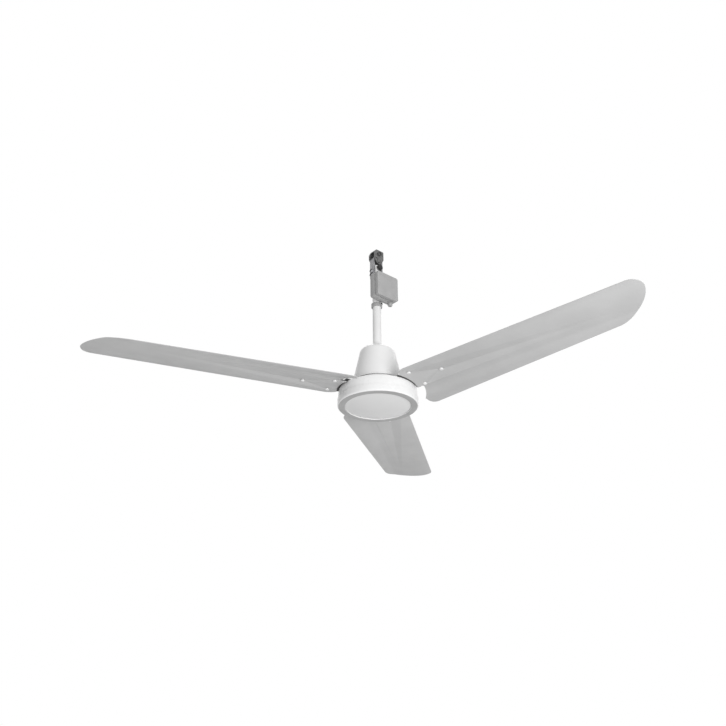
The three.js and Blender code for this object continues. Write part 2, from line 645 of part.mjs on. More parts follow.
function terminalBlock() {
  const { length, depth, height } = TERMINAL_BLOCK;
  const y1 = BOX_FLOOR_Y - FIT;
  const z0 = -BOX_MID_DEPTH - height - 5;
  const body = block(-length / 2, length / 2, y1 - depth, y1, z0, z0 + height);
  const pitch = length / TERMINAL_WAYS;
  const ways = Array.from({ length: TERMINAL_WAYS }, (_, i) => {
    const x = -length / 2 + (i + 0.5) * pitch;
    return disc(pitch * 0.28, z0 - 1, z0 + height + 1, ROUND_TINY).translate(x, y1 - depth / 2, 0);
  });
  return cut(body, ...ways);
}

function grommet() {
  const seat = -BOX_BOTTOM_DEPTH;
  return turned(
    [
      [GROMMET_BORE, seat - GROMMET_FLANGE - FIT],
      [GROMMET_RADIUS + 1.6, seat - GROMMET_FLANGE - FIT],
      [GROMMET_RADIUS + 1.6, seat - FIT],
      [GROMMET_RADIUS, seat - FIT],
      [GROMMET_RADIUS, seat + BOX_WALL + 2],
      [GROMMET_BORE, seat + BOX_WALL + 2],
    ],
    ROUND_SMALL,
  ).translate(GROMMET_X, GROMMET_Y, 0);
}

function boxCollar() {
  const z1 = -BOX_BOTTOM_DEPTH - 1;
  const z0 = z1 - COLLAR_HEIGHT;
  const mid = -(z0 + z1) / 2;
  const outer = ROD_RADIUS + FIT + COLLAR_WALL;
  return cut(
    join(
      disc(outer, z0, z1, 32),
      crossY(COLLAR_BOSS_RADIUS, -outer - COLLAR_BOSS_LENGTH, -outer + 2, mid),
    ),
    disc(ROD_RADIUS + FIT, z0 - 1, z1 + 1, ROUND_MEDIUM),
    crossY(COLLAR_SCREW_RADIUS + FIT, -outer - COLLAR_BOSS_LENGTH - 1, 0, mid),
  );
}

function collarScrew() {
  const mid = BOX_BOTTOM_DEPTH + 1 + COLLAR_HEIGHT / 2;
  const tip = -(ROD_RADIUS + FIT);
  const end = tip - COLLAR_WALL - COLLAR_BOSS_LENGTH + 0.5;
  const socket = alongY(hexPrism(2 * COLLAR_SOCKET_RADIUS, end - 1, end + 2.5)).translate(0, 0, -mid);
  return cut(crossY(COLLAR_SCREW_RADIUS, end, tip, mid), socket);
}

function buildTerminalBox() {
  place("terminal_box_base", boxBase(), FINISH.boxPlastic);
  place("terminal_box_lid", boxLid(), FINISH.boxPlastic);
  const screwToward = (geometry) => geometry.rotateX(-Math.PI / 2);
  const lidScrewLength = BOX_BASE_DEPTH + BOX_LID_DEPTH - 5;
  const lidScrew = screwToward(panScrew(LID_SCREW_RADIUS, 3.4, 1.8, lidScrewLength));
  const backY = -BOX_BACK_OFFSET + FIT;
  place("lid_screw", lidScrew.translate(0, backY, -LID_SCREW_DEPTH), FINISH.zincSteel);
  place("box_saddle", saddle(), FINISH.zincSteel);
  const earBack = -BOX_BACK_OFFSET + 2 * FIT + SADDLE_BAND;
  [-1, 1].forEach((side, i) => {
    const screw = screwToward(panScrew(SADDLE_SCREW_RADIUS, 3.4, 1.8, SADDLE_BAND + BOX_WALL + 2));
    const spot = [side * SADDLE_SCREW_OFFSET, earBack, -BOX_MID_DEPTH];
    place(`saddle_screw_${i + 1}`, screw.translate(...spot), FINISH.zincSteel);
  });
  place("motor_capacitor", capacitor(), FINISH.capacitorPlastic);
  place("terminal_block", terminalBlock(), FINISH.terminalNylon);
  place("cable_grommet", grommet(), FINISH.rubber);
  place("box_collar", boxCollar(), FINISH.zincSteel);
  place("collar_screw", collarScrew(), FINISH.blackSteel);
}

// ---------------------------------------------------------------- canopy

const CANOPY_SLOPE = Math.atan2(
  CANOPY_BASE_DEPTH - CANOPY_SHOULDER_DEPTH,
  CANOPY_SHOULDER_RADIUS - CANOPY_BASE_RADIUS,
);

// half of the bell's outline, from the base up to the rod hole, moved inwards by inset
function canopyHalf(inset, filletSteps) {
  const outwards = CANOPY_SLOPE - Math.PI / 2;
  const shift = ([radius, z]) => [
    radius - inset * Math.cos(outwards),
    z - inset * Math.sin(outwards),
  ];
  const [shoulderRadius, shoulderZ] = [CANOPY_SHOULDER_RADIUS, -CANOPY_SHOULDER_DEPTH];
  const centre = [
    shoulderRadius - CANOPY_FILLET * Math.cos(outwards),
    shoulderZ - CANOPY_FILLET * Math.sin(outwards),
  ];
  const crownAngle = Math.PI / 2 - 0.06;
  const fillet = arcPoints(...centre, CANOPY_FILLET - inset, outwards, crownAngle, filletSteps);
  const holeRadius = ROD_RADIUS + CANOPY_ROD_CLEARANCE;
  const crown = [holeRadius, centre[1] + CANOPY_FILLET - inset + CANOPY_CROWN_RISE];
  const base = shift([CANOPY_BASE_RADIUS, -CANOPY_BASE_DEPTH]);
  return [[base[0], -CANOPY_BASE_DEPTH], ...fillet, crown];
}

const CANOPY_TOP_Z = canopyHalf(0, 1).at(-1)[1];

function canopyBell() {
  const outside = canopyHalf(0, 6);
  const inside = canopyHalf(CANOPY_WALL, 4).reverse();
  return turned([...outside, ...inside], ROUND_FINE);
}

function gripRing() {
  const inner = ROD_RADIUS + FIT;
  const outer = inner + GRIP_RING_THICKNESS;
  const underCrown = CANOPY_TOP_Z - CANOPY_WALL - FIT - 0.3;
  return tube(inner, outer, underCrown - GRIP_RING_HEIGHT, underCrown, 32);
}

function buildCanopy() {
  place("canopy", canopyBell(), FINISH.whiteEnamel);
  place("canopy_grip_ring", gripRing(), FINISH.rubber);
}

// ---------------------------------------------------------------- motor, fixed parts

const NECK_TOP_Z = -NECK_TOP_DEPTH;
const HOUSING_TOP_Z = -HOUSING_TOP_DEPTH;
const CUP_FLOOR_Z = -CUP_FLOOR_DEPTH; // inside face of the recessed floor
const LOWER_BEARING_Z = CUP_FLOOR_Z + FIT;
const UPPER_BEARING_TOP_Z = NECK_TOP_Z - SHELL - FIT;
const STATOR_TOP_Z = -STATOR_TOP_DEPTH;
const STATOR_BOTTOM_Z = -STATOR_BOTTOM_DEPTH;

function motorShaft() {
  const top = -ROD_BOTTOM_DEPTH + SHAFT_OVERLAP;
  const bottom = CUP_FLOOR_Z + 2 * FIT;
  const shaft = tube(SHAFT_BORE, SHAFT_RADIUS, bottom, top, 28);
  return cut(
    shaft,
    crossX(M6.shank + FIT, -SHAFT_RADIUS - 1, SHAFT_RADIUS + 1, ROD_BOTTOM_DEPTH - COUPLER_BOLT_RISE),
  );
}

function statorCore() {
  const core = tube(SHAFT_RADIUS + FIT, STATOR_RADIUS, STATOR_BOTTOM_Z, STATOR_TOP_Z, ROUND_FINE);
  const slots = Array.from({ length: STATOR_TEETH }, (_, i) =>
    block(
      STATOR_RADIUS - SLOT_DEPTH,
      STATOR_RADIUS + 2,
      -SLOT_WIDTH / 2,
      SLOT_WIDTH / 2,
      STATOR_BOTTOM_Z - 1,
      STATOR_TOP_Z + 1,
    ).rotateZ((FULL_TURN * i) / STATOR_TEETH),
  );
  return cut(core, ...slots);
}

function bearing(z0) {
  const inner = SHAFT_RADIUS + FIT;
  const groove = 0.7;
  const mid = (inner + BEARING_RADIUS) / 2;
  const z1 = z0 + BEARING_HEIGHT;
  return turned(
    [
      [inner, z0],
      [BEARING_RADIUS, z0],
      [BEARING_RADIUS, z1],
      [mid + 3, z1],
      [mid, z1 - groove],
      [mid - 3, z1],
      [inner, z1],
    ],
    20,
  );
}

function winding(z0, z1) {
  const soft = 1;
  return turned(
    [
      [WINDING_INNER, z0],
      [WINDING_OUTER - soft, z0],
      [WINDING_OUTER, z0 + soft],
      [WINDING_OUTER, z1 - soft],
      [WINDING_OUTER - soft, z1],
      [WINDING_INNER, z1],
    ],
    24,
  );
}

function buildMotorCore() {
  place("motor_shaft", motorShaft(), FINISH.zincSteel);
  const reach = ROD_RADIUS + FIT;
  const depth = ROD_BOTTOM_DEPTH - COUPLER_BOLT_RISE;
  const bolt = alongX(hexBolt(M6, 2 * reach + M6.head + 2)).translate(-reach, 0, -depth);
  place("coupler_bolt", bolt, FINISH.zincSteel);
  place("coupler_nut", alongX(hexNut(M6)).translate(reach, 0, -depth), FINISH.zincSteel);
  place("stator_core", statorCore(), FINISH.laminatedSteel);
  const upper = STATOR_TOP_Z + FIT;
  place("stator_winding_upper", winding(upper, upper + UPPER_WINDING_HEIGHT), FINISH.copper);
  const lower = STATOR_BOTTOM_Z - FIT;
  place("stator_winding_lower", winding(lower - LOWER_WINDING_HEIGHT, lower), FINISH.copper);
  place("bearing_upper", bearing(UPPER_BEARING_TOP_Z - BEARING_HEIGHT), FINISH.zincSteel);
  place("bearing_lower", bearing(LOWER_BEARING_Z), FINISH.zincSteel);
}

// ---------------------------------------------------------------- rotor and housing

const rotor = new THREE.Group();
fan.add(rotor);

const BOSS_INNER = BEARING_RADIUS + FIT;
const BOSS_OUTER = BOSS_INNER + BEARING_BOSS_WALL;
const SHAFT_HOLE = SHAFT_RADIUS + 1.4;

function housingTop() {
  const seamZ = -HOUSING_SEAM_DEPTH + FIT;
  const topInner = HOUSING_TOP_Z - SHELL;
  const bossEnd = NECK_TOP_Z - SHELL - BEARING_HEIGHT - FIT;
  const neckInner = NECK_RADIUS - SHELL;
  const edge = arcPoints(
    HOUSING_TOP_RADIUS - TOP_FILLET,
    HOUSING_TOP_Z - TOP_FILLET,
    TOP_FILLET,
    Math.PI / 2,
    0,
    2,
  );
  const shell = turned(
    [
      [SHAFT_HOLE, NECK_TOP_Z],
      [NECK_RADIUS - 1, NECK_TOP_Z],
      [NECK_RADIUS, NECK_TOP_Z - 1],
      [NECK_RADIUS, HOUSING_TOP_Z],
      ...edge,
      [HOUSING_SEAM_RADIUS, seamZ],
      [HOUSING_SEAM_RADIUS - SHELL, seamZ],
      [HOUSING_TOP_RADIUS - SHELL, topInner],
      [neckInner, topInner],
      [neckInner, NECK_TOP_Z - SHELL],
      [BOSS_OUTER, NECK_TOP_Z - SHELL],
      [BOSS_OUTER, bossEnd],
      [BOSS_INNER, bossEnd],
      [BOSS_INNER, NECK_TOP_Z - SHELL],
      [SHAFT_HOLE, NECK_TOP_Z - SHELL],
    ],
    ROUND_FINE,
  );
  const slotMid = NECK_TOP_Z - 4;
  const slots = Array.from({ length: NECK_SLOT.count }, (_, i) =>
    block(
      neckInner - 1,
      NECK_RADIUS + 1,
      -NECK_SLOT.width / 2,
      NECK_SLOT.width / 2,
      slotMid - NECK_SLOT.height / 2,
      slotMid + NECK_SLOT.height / 2,
    ).rotateZ((FULL_TURN * (i + 0.5)) / NECK_SLOT.count),
  );
  return cut(shell, ...slots, ...ironScrewSpots().map(([x, y]) => ironScrewHole(x, y)));
}

function housingCup() {
  const seamZ = -HOUSING_SEAM_DEPTH;
  const bottomZ = -HOUSING_BOTTOM_DEPTH;
  const filletTop = -CUP_FILLET_DEPTH;
  const wallInner = CUP_RADIUS - SHELL;
  const curve = Array.from({ length: 5 }, (_, i) => {
    const angle = (Math.PI / 2) * (i / 4);
    return [
      RIM_OUTER + (CUP_RADIUS - RIM_OUTER) * Math.cos(angle),
      filletTop + (bottomZ - filletTop) * Math.sin(angle),
    ];
  });
  const recessZ = bottomZ + RECESS;
  return turned(
    [
      [0, recessZ],
      [RIM_INNER, recessZ],
      [RIM_INNER, bottomZ],
      ...curve.reverse(),
      [CUP_RADIUS, seamZ - 0.8],
      [CUP_RADIUS - 0.8, seamZ],
      [wallInner, seamZ],
      [wallInner, filletTop],
      [RIM_OUTER - 2, bottomZ + SHELL],
      [RIM_INNER + SHELL, bottomZ + SHELL],
      [RIM_INNER + SHELL, CUP_FLOOR_Z],
      [BOSS_OUTER, CUP_FLOOR_Z],
      [BOSS_OUTER, CUP_FLOOR_Z + BEARING_HEIGHT],
      [BOSS_INNER, CUP_FLOOR_Z + BEARING_HEIGHT],
      [BOSS_INNER, CUP_FLOOR_Z],
      [0, CUP_FLOOR_Z],
    ],
    ROUND_FINE,
  );
}

function capDome() {
  const rimZ = -HOUSING_BOTTOM_DEPTH + RECESS - FIT;
  const lipZ = rimZ - CAP_LIP;
  const domeRadius = CAP_RADIUS - CAP_EDGE;
  // a shallow dome hanging below its rim, from the rim to the axis
  const dome = (radius, edgeZ, sag, steps) =>
    Array.from({ length: steps + 1 }, (_, i) => {
      const share = 1 - i / steps;
      return [radius * share, edgeZ - sag * (1 - share * share)];
    });
  const outside = dome(domeRadius, lipZ, CAP_SAG, 6);
  const inside = dome(domeRadius - CAP_WALL, rimZ, CAP_SAG, 3).reverse();
  return turned([...inside, [CAP_RADIUS, rimZ], [CAP_RADIUS, lipZ], ...outside], ROUND_FINE);
}

function rotorCage() {
  const inner = STATOR_RADIUS + AIR_GAP;
  const outer = HOUSING_TOP_RADIUS - SHELL - FIT;
  return tube(inner, outer, STATOR_BOTTOM_Z, STATOR_TOP_Z, ROUND_FINE);
}

// ---------------------------------------------------------------- blades

const bladeAngle = (i) => THREE.MathUtils.degToRad(BLADE_REST_ANGLE) + (FULL_TURN * i) / BLADE_COUNT;
const TAB_RADIUS = HOUSING_TOP_RADIUS + TAB_GAP;
const trailingAt = (along) => TRAILING_AT_PITCH_RADIUS + TRAILING_TAPER * (along - BLADE_PITCH_RADIUS);

// plan outline of a blade: x runs out along its axis, y across it towards the trailing side
function bladeOutline() {
  const onCircle = (radius, y) => Math.sqrt(radius * radius - y * y);
  const tipStart = SWEEP_RADIUS - TIP_SWEEP_LENGTH;
  const tipX = SWEEP_RADIUS + 0.4;
  const shape = new THREE.Shape();
  shape.moveTo(onCircle(TAB_RADIUS, TAB_LEADING), TAB_LEADING);
  shape.lineTo(ROOT_BEVEL_START, TAB_LEADING);
  shape.lineTo(ROOT_BEVEL_START + ROOT_BEVEL_LENGTH, LEADING_EDGE);
  shape.lineTo(tipX - TIP_LEADING_CORNER, LEADING_EDGE);
  shape.quadraticCurveTo(tipX - 3, LEADING_EDGE + 1.5, tipX, LEADING_EDGE + TIP_LEADING_CORNER + 3);
  shape.bezierCurveTo(
    tipX + 1,
    LEADING_EDGE + 2.3 * TIP_LEADING_CORNER,
    tipStart + 52,
    trailingAt(tipStart) - 8,
    tipStart,
    trailingAt(tipStart),
  );
  const stripEndY = trailingAt(CUT_OUT_RADIUS) - STRIP_CORNER - 8;
  const stripEndX = onCircle(CUT_OUT_RADIUS + 2, stripEndY);
  shape.lineTo(stripEndX + STRIP_CORNER + 12, trailingAt(stripEndX));
  shape.quadraticCurveTo(stripEndX + 1, trailingAt(stripEndX), stripEndX, stripEndY);
  const cutStart = Math.atan2(stripEndY, stripEndX);
  const cutEnd = Math.asin((TAB_TRAILING + TAB_CORNER) / CUT_OUT_RADIUS);
  shape.absarc(0, 0, CUT_OUT_RADIUS, cutStart, cutEnd, true);
  shape.quadraticCurveTo(
    onCircle(CUT_OUT_RADIUS, TAB_TRAILING) - 1,
    TAB_TRAILING - 3,
    onCircle(CUT_OUT_RADIUS, TAB_TRAILING) - 9,
    TAB_TRAILING,
  );
  shape.lineTo(onCircle(TAB_RADIUS, TAB_TRAILING), TAB_TRAILING);
  const tabFrom = Math.asin(TAB_TRAILING / TAB_RADIUS);
  const tabTo = Math.asin(TAB_LEADING / TAB_RADIUS);
  shape.absarc(0, 0, TAB_RADIUS, tabFrom, tabTo, true);
  return shape;
}

// a long folded sheet in the blade's plane: lift raises it, thickness is measured upwards
function foldedSheet(lift, thickness, from, to) {
  const bend = CREASE_HALF_WIDTH;
  const height = (across) => {
    const mainPart = BLADE_PITCH * across;
    if (across <= CREASE - bend) return mainPart;
    const stripPart = BLADE_PITCH * CREASE + STRIP_SLOPE * (across - CREASE);
    if (across >= CREASE + bend) return stripPart;
    const share = (across - CREASE + bend) / (2 * bend);
    return BLADE_PITCH * across + (STRIP_SLOPE - BLADE_PITCH) * bend * share * share;
  };
  const creased = [CREASE - bend, CREASE, CREASE + bend];
  const stations = [SHEET_LEADING_REACH, ...creased, SHEET_TRAILING_REACH];
  const shape = new THREE.Shape();
  stations.forEach((across, i) => {
    if (i === 0) shape.moveTo(across, height(across) + lift);
    else shape.lineTo(across, height(across) + lift);
  });
  [...stations].reverse().forEach((across) => shape.lineTo(across, height(across) + lift + thickness));
  const sheet = new THREE.ExtrudeGeometry(shape, { depth: to - from, bevelEnabled: false });
  const toBladeFrame = new THREE.Matrix4().makeBasis(
    new THREE.Vector3(0, 1, 0),
    new THREE.Vector3(0, 0, 1),
    new THREE.Vector3(1, 0, 0),
  );
  sheet.applyMatrix4(toBladeFrame).translate(from - BLADE_PITCH_RADIUS, 0, 0);
  sheet.rotateY(-Math.atan(BLADE_RISE));
  return sheet.translate(BLADE_PITCH_RADIUS, 0, -BLADE_MID_DEPTH);
}

const sheetZ = (along, across) =>
  -BLADE_MID_DEPTH + BLADE_PITCH * across + BLADE_RISE * (along - BLADE_PITCH_RADIUS);

// turns a piece built along Z at the origin square to the main panel and moves it to a spot
function onBlade(geometry, { along, across }, lift) {
  const up = new THREE.Vector3(-BLADE_RISE, -BLADE_PITCH, 1).normalize();
  const turn = new THREE.Quaternion().setFromUnitVectors(new THREE.Vector3(0, 0, 1), up);
  geometry.applyQuaternion(turn);
  return geometry.translate(along, across, sheetZ(along, across) + lift);
}

const screwBore = (spot, radius) => onBlade(disc(radius, -12, 12, ROUND_SMALL), spot, 0);

const TOOL_LOW_Z = -BLADE_MID_DEPTH - TOOL_HALF_HEIGHT;
const TOOL_HIGH_Z = -BLADE_MID_DEPTH + TOOL_HALF_HEIGHT;

function blade() {
  const sheet = foldedSheet(0, BLADE_THICKNESS, SHEET_START, SWEEP_RADIUS + BLADE_OVERRUN);
  const outline = platedXY(bladeOutline(), TOOL_LOW_Z, TOOL_HIGH_Z, 7);
  const bores = BLADE_SCREW_SPOTS.map((spot) => screwBore(spot, BLADE_SCREW_RADIUS + FIT));
  return cut(common(sheet, outline), ...bores, screwBore(MARK_HOLE, MARK_HOLE_RADIUS));
}

function ironScrewSpots() {
  const spread = THREE.MathUtils.degToRad(IRON_SCREW_SPREAD);
  const spots = [];
  for (let i = 0; i < BLADE_COUNT; i += 1) {
    for (const side of [-1, 1]) {
      const angle = bladeAngle(i) + side * spread;
      spots.push([
        IRON_SCREW_RADIUS_FROM_AXIS * Math.cos(angle),
        IRON_SCREW_RADIUS_FROM_AXIS * Math.sin(angle),
      ]);
    }
  }
  return spots;
}

function ironScrewHole(x, y) {
  const [low, high] = [HOUSING_TOP_Z - SHELL - 2, HOUSING_TOP_Z + 6];
  return disc(IRON_SCREW_RADIUS + FIT, low, high, ROUND_SMALL).translate(x, y, 0);
}

function bladeIron() {
  const footBottom = HOUSING_TOP_Z + FIT;
  const footTop = footBottom + IRON_THICKNESS;
  const footOuter = TAB_RADIUS - FIT - IRON_PLAY;
  const leadingSide = TAB_LEADING + IRON_EDGE_INSET;
  const trailingSide = TAB_TRAILING - IRON_EDGE_INSET;
  const wedge = new THREE.Shape();
  wedge.moveTo(FOOT_TOOL_START, leadingSide);
  wedge.lineTo(FOOT_TOOL_END, leadingSide);
  wedge.lineTo(FOOT_TOOL_END, trailingSide);
  wedge.lineTo(FOOT_TOOL_START, trailingSide);
  const sector = platedXY(
    wedge, footBottom - FOOT_TOOL_HALF_HEIGHT, footTop + FOOT_TOOL_HALF_HEIGHT, 4,
  );
  const ring = (inner, z0) => tube(inner, footOuter, z0, footTop, ROUND_FINE);
  const foot = common(ring(IRON_INNER_RADIUS, footBottom), sector);
  const lip = common(ring(IRON_WALL_INNER, footBottom - IRON_WALL_DROP), sector);
  const tip = BLADE_SCREW_SPOTS[2];
  const shoulder = BLADE_SCREW_SPOTS[0].along + IRON_TIP_RADIUS;
  const plan = new THREE.Shape();
  plan.moveTo(SHEET_START, leadingSide);
  plan.lineTo(shoulder, TAB_LEADING + IRON_LEADING_TAPER);
  plan.lineTo(tip.along, tip.across - IRON_TIP_RADIUS);
  plan.absarc(tip.along, tip.across, IRON_TIP_RADIUS, -Math.PI / 2, Math.PI / 2);
  plan.lineTo(shoulder, TAB_TRAILING + IRON_EDGE_INSET);
  plan.lineTo(SHEET_START, trailingSide);
  const armEnd = tip.along + ARM_OVERRUN;
  const armSheet = foldedSheet(BLADE_THICKNESS + FIT, IRON_THICKNESS, SHEET_START, armEnd);
  const arm = cut(
    common(armSheet, platedXY(plan, TOOL_LOW_Z, TOOL_HIGH_Z, 6)),
    disc(IRON_WALL_INNER, TOOL_LOW_Z, TOOL_HIGH_Z, ROUND_FINE),
  );
  const bores = BLADE_SCREW_SPOTS.map((spot) => screwBore(spot, BLADE_SCREW_RADIUS + FIT));
  const spread = THREE.MathUtils.degToRad(IRON_SCREW_SPREAD);
  const footHoles = [-1, 1].map((side) =>
    ironScrewHole(
      IRON_SCREW_RADIUS_FROM_AXIS * Math.cos(side * spread),
      IRON_SCREW_RADIUS_FROM_AXIS * Math.sin(side * spread),
    ),
  );
  return cut(join(foot, lip, arm), ...bores, ...footHoles);
}

function bladeScrew(spot) {
  const length = BLADE_THICKNESS + IRON_THICKNESS + FIT + 2;
  const screw = panScrew(BLADE_SCREW_RADIUS, BLADE_SCREW_HEAD, BLADE_SCREW_HEAD_HEIGHT, length);
  screw.rotateX(Math.PI);
  return onBlade(screw, spot, -FIT);
}

function buildRotor() {
  place("housing_top", housingTop(), FINISH.whiteEnamel, rotor);
  place("housing_cup", housingCup(), FINISH.whiteEnamel, rotor);
  place("housing_cap", capDome(), FINISH.whiteEnamel, rotor);
  place("rotor_cage", rotorCage(), FINISH.laminatedSteel, rotor);
  ironScrewSpots().forEach(([x, y], i) => {
    const screw = panScrew(IRON_SCREW_RADIUS, 4.6, 2.6, IRON_THICKNESS + SHELL + 2.6);
    const name = `iron_screw_${i + 1}`;
    const seat = HOUSING_TOP_Z + IRON_THICKNESS + 2 * FIT;
    place(name, screw.translate(x, y, seat), FINISH.zincSteel, rotor);
  });
  for (let i = 0; i < BLADE_COUNT; i += 1) {
    const arm = new THREE.Group();
    arm.rotation.z = bladeAngle(i);
    rotor.add(arm);
    place(`blade_${i + 1}`, blade(), FINISH.bladeEnamel, arm);
    place(`blade_iron_${i + 1}`, bladeIron(), FINISH.blackSteel, arm);
    BLADE_SCREW_SPOTS.forEach((spot, k) => {
      place(`blade_screw_${i + 1}_${k + 1}`, bladeScrew(spot), FINISH.zincSteel, arm);
    });
  }
}

buildBracket();
buildHanger();
buildTerminalBox();
buildMotorCore();
buildCanopy();
buildRotor();

export default fan;
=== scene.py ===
# %% [markdown]
# # A ceiling sweep fan on a down-rod
#
# This lesson dresses a working model of a ceiling fan. The frame that is loaded first holds every
# piece at its true size and place, together with the joints that let the fan swing and turn. What
# is made here is the surface that the eye meets: smooth spun shells, folded sheet blades, rounded
# edges, threads and paint. Every new piece then rides on the body of the frame that it belongs
# to.

import math

import bmesh
import bpy
from mathutils import Matrix, Vector
from mathutils.geometry import interpolate_bezier
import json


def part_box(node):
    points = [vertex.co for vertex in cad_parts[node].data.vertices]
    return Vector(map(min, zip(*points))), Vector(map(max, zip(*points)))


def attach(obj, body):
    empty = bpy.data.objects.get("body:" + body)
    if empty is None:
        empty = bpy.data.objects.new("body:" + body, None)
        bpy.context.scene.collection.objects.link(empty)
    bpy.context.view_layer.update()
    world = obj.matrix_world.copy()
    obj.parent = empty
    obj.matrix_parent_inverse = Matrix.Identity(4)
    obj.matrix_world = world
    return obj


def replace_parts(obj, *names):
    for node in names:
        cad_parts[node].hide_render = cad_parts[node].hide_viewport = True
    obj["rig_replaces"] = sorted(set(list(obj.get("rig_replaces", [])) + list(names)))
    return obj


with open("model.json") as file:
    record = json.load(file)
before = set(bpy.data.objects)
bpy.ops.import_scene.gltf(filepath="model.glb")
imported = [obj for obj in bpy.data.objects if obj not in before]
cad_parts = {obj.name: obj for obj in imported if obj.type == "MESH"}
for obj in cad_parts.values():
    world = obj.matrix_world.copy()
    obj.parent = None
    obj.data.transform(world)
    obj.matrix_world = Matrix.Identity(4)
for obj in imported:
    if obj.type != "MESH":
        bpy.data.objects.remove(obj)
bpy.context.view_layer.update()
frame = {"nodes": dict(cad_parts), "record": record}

# %% [markdown]
# ## Units and sizes read from the frame
#
# Sizes are written in millimetres, as on a workshop drawing, and turned to metres once, when a
# piece is finished. Places come from the frame wherever it knows them, so a shell made here
# always sits on the part that carries it.

# %% Millimetres, the boxes of the frame's parts, and new objects
MM = 0.001
FULL_TURN = 2 * math.pi


def box_mm(node):
    """Lowest and highest corner of a part of the frame, in millimetres."""
    low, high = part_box(node)
    return low / MM, high / MM


def middle_of(node):
    """The middle of a part of the frame, in millimetres."""
    low, high = box_mm(node)
    return (low + high) / 2


def linked(name, data):
    """A new object in the scene."""
    thing = bpy.data.objects.new(name, data)
    bpy.context.scene.collection.objects.link(thing)
    return thing


def mesh_of(bm, name):
    """Turns a bmesh into a mesh and frees the bmesh."""
    mesh = bpy.data.meshes.new(name)
    bm.to_mesh(mesh)
    bm.free()
    return mesh


canopy_low, canopy_high = box_mm("canopy")
top_low, top_high = box_mm("housing_top")
cup_low, cup_high = box_mm("housing_cup")
cap_low, cap_high = box_mm("housing_cap")
rod_low, rod_high = box_mm("down_rod")
print(f"drum {cup_high.x * 2:.1f} mm across, rod {rod_high.x * 2:.1f} mm across")

# %% [markdown]
# ## The camera
#
# The camera stands where the photographer stood: below the fan, a little over two metres away,
# and looks up at it. A longish lens keeps the near and far blades in believable proportion.
# Azimuth and heading are turns about the upright axis, and the small roll is the tilt of a hand-
# held camera.

# %% Place the camera at the photograph's angle
FRAME_PIXELS = 726
FOCAL_PIXELS = 887.6
SENSOR_WIDTH = 36
CAMERA_AZIMUTH = math.radians(-42)
CAMERA_AXIS_DISTANCE = 1976.6
CAMERA_HEIGHT = -1290.8
CAMERA_HEADING = math.radians(-40.96)
CAMERA_PITCH = math.radians(26.05)
CAMERA_ROLL = math.radians(-0.265)

camera_data = bpy.data.cameras.new("photo_camera")
camera_data.sensor_width = SENSOR_WIDTH
camera_data.lens = FOCAL_PIXELS / FRAME_PIXELS * SENSOR_WIDTH
camera = linked("photo_camera", camera_data)
bpy.context.scene.camera = camera
camera_place = Vector((
    CAMERA_AXIS_DISTANCE * math.sin(CAMERA_AZIMUTH),
    -CAMERA_AXIS_DISTANCE * math.cos(CAMERA_AZIMUTH),
    CAMERA_HEIGHT,
)) * MM
camera.matrix_world = (
    Matrix.Translation(camera_place)
    @ Matrix.Rotation(CAMERA_HEADING, 4, "Z")
    @ Matrix.Rotation(math.pi / 2 + CAMERA_PITCH, 4, "X")
    @ Matrix.Rotation(CAMERA_ROLL, 4, "Z")
)
print(f"lens {camera_data.lens:.2f} mm, camera at {[round(v, 3) for v in camera_place]}")

# %% [markdown]
# ## Floor, light and background
#
# The fan hangs in a plain studio. A pale floor lies a little over three metres below the ceiling,
# and sends some light back up under the blades. The key lamp is a large soft one, low and a
# little to the viewer's right, so the round shells fall off gently to the left and the underside
# is lit as well. A weak lamp behind and above the fan keeps its upper side readable without
# touching the side in view. The world, and most of the floor, look plain white to the camera and
# in reflections. That lights nothing, so the background is white while the lamps stay at a level
# that keeps colours true.

# %% One small function that adds a node with its settings and links
WHITE = (1, 1, 1, 1)


def add_node(tree, kind, inputs=None, **settings):
    """Adds a node. Inputs are numbers and colours for its sockets, or sockets to link to them."""
    node = tree.nodes.new(kind)
    for name, value in settings.items():
        setattr(node, name, value)
    for socket, value in (inputs or {}).items():
        if isinstance(value, bpy.types.NodeSocket):
            tree.links.new(value, node.inputs[socket])
        else:
            node.inputs[socket].default_value = value
    return node


def linear(hex_colour):
    """An sRGB hex value as the linear colour that Blender's sockets hold."""
    parts = [int(hex_colour[i:i + 2], 16) / 255 for i in (0, 2, 4)]
    return (*[p / 12.92 if p <= 0.04045 else ((p + 0.055) / 1.055) ** 2.4 for p in parts], 1.0)


def rays_that_see_white(tree):
    """1 for rays from the camera, in reflections and through glass, and 0 for the fan's light."""
    ray = add_node(tree, "ShaderNodeLightPath").outputs
    share = ray["Is Camera Ray"]
    for other in ("Is Glossy Ray", "Is Transmission Ray"):
        share = add_node(
            tree, "ShaderNodeMath", {0: share, 1: ray[other]}, operation="MAXIMUM"
        ).outputs[0]
    return share


# %% The floor
FLOOR_DEPTH = 3200
FLOOR_HALF_SIZE = 9000
FLOOR_WHITENESS = 0.65

bm = bmesh.new()
bmesh.ops.create_grid(bm, x_segments=1, y_segments=1, size=FLOOR_HALF_SIZE * MM)
bmesh.ops.translate(bm, verts=bm.verts, vec=(0, 0, -FLOOR_DEPTH * MM))
floor = linked("floor", mesh_of(bm, "floor"))
floor_paint = bpy.data.materials.new("pale_studio_floor")
floor_paint.use_nodes = True
paint = floor_paint.node_tree
matt = paint.nodes["Principled BSDF"]
matt.inputs["Base Color"].default_value = linear("E6E6E6")
matt.inputs["Roughness"].default_value = 0.9
share = add_node(
    paint, "ShaderNodeMath", {0: rays_that_see_white(paint), 1: FLOOR_WHITENESS},
    operation="MULTIPLY",
)
plain_white = add_node(paint, "ShaderNodeEmission", {"Color": WHITE, "Strength": 1.0})
floor_look = add_node(
    paint, "ShaderNodeMixShader",
    {0: share.outputs[0], 1: matt.outputs[0], 2: plain_white.outputs[0]},
)
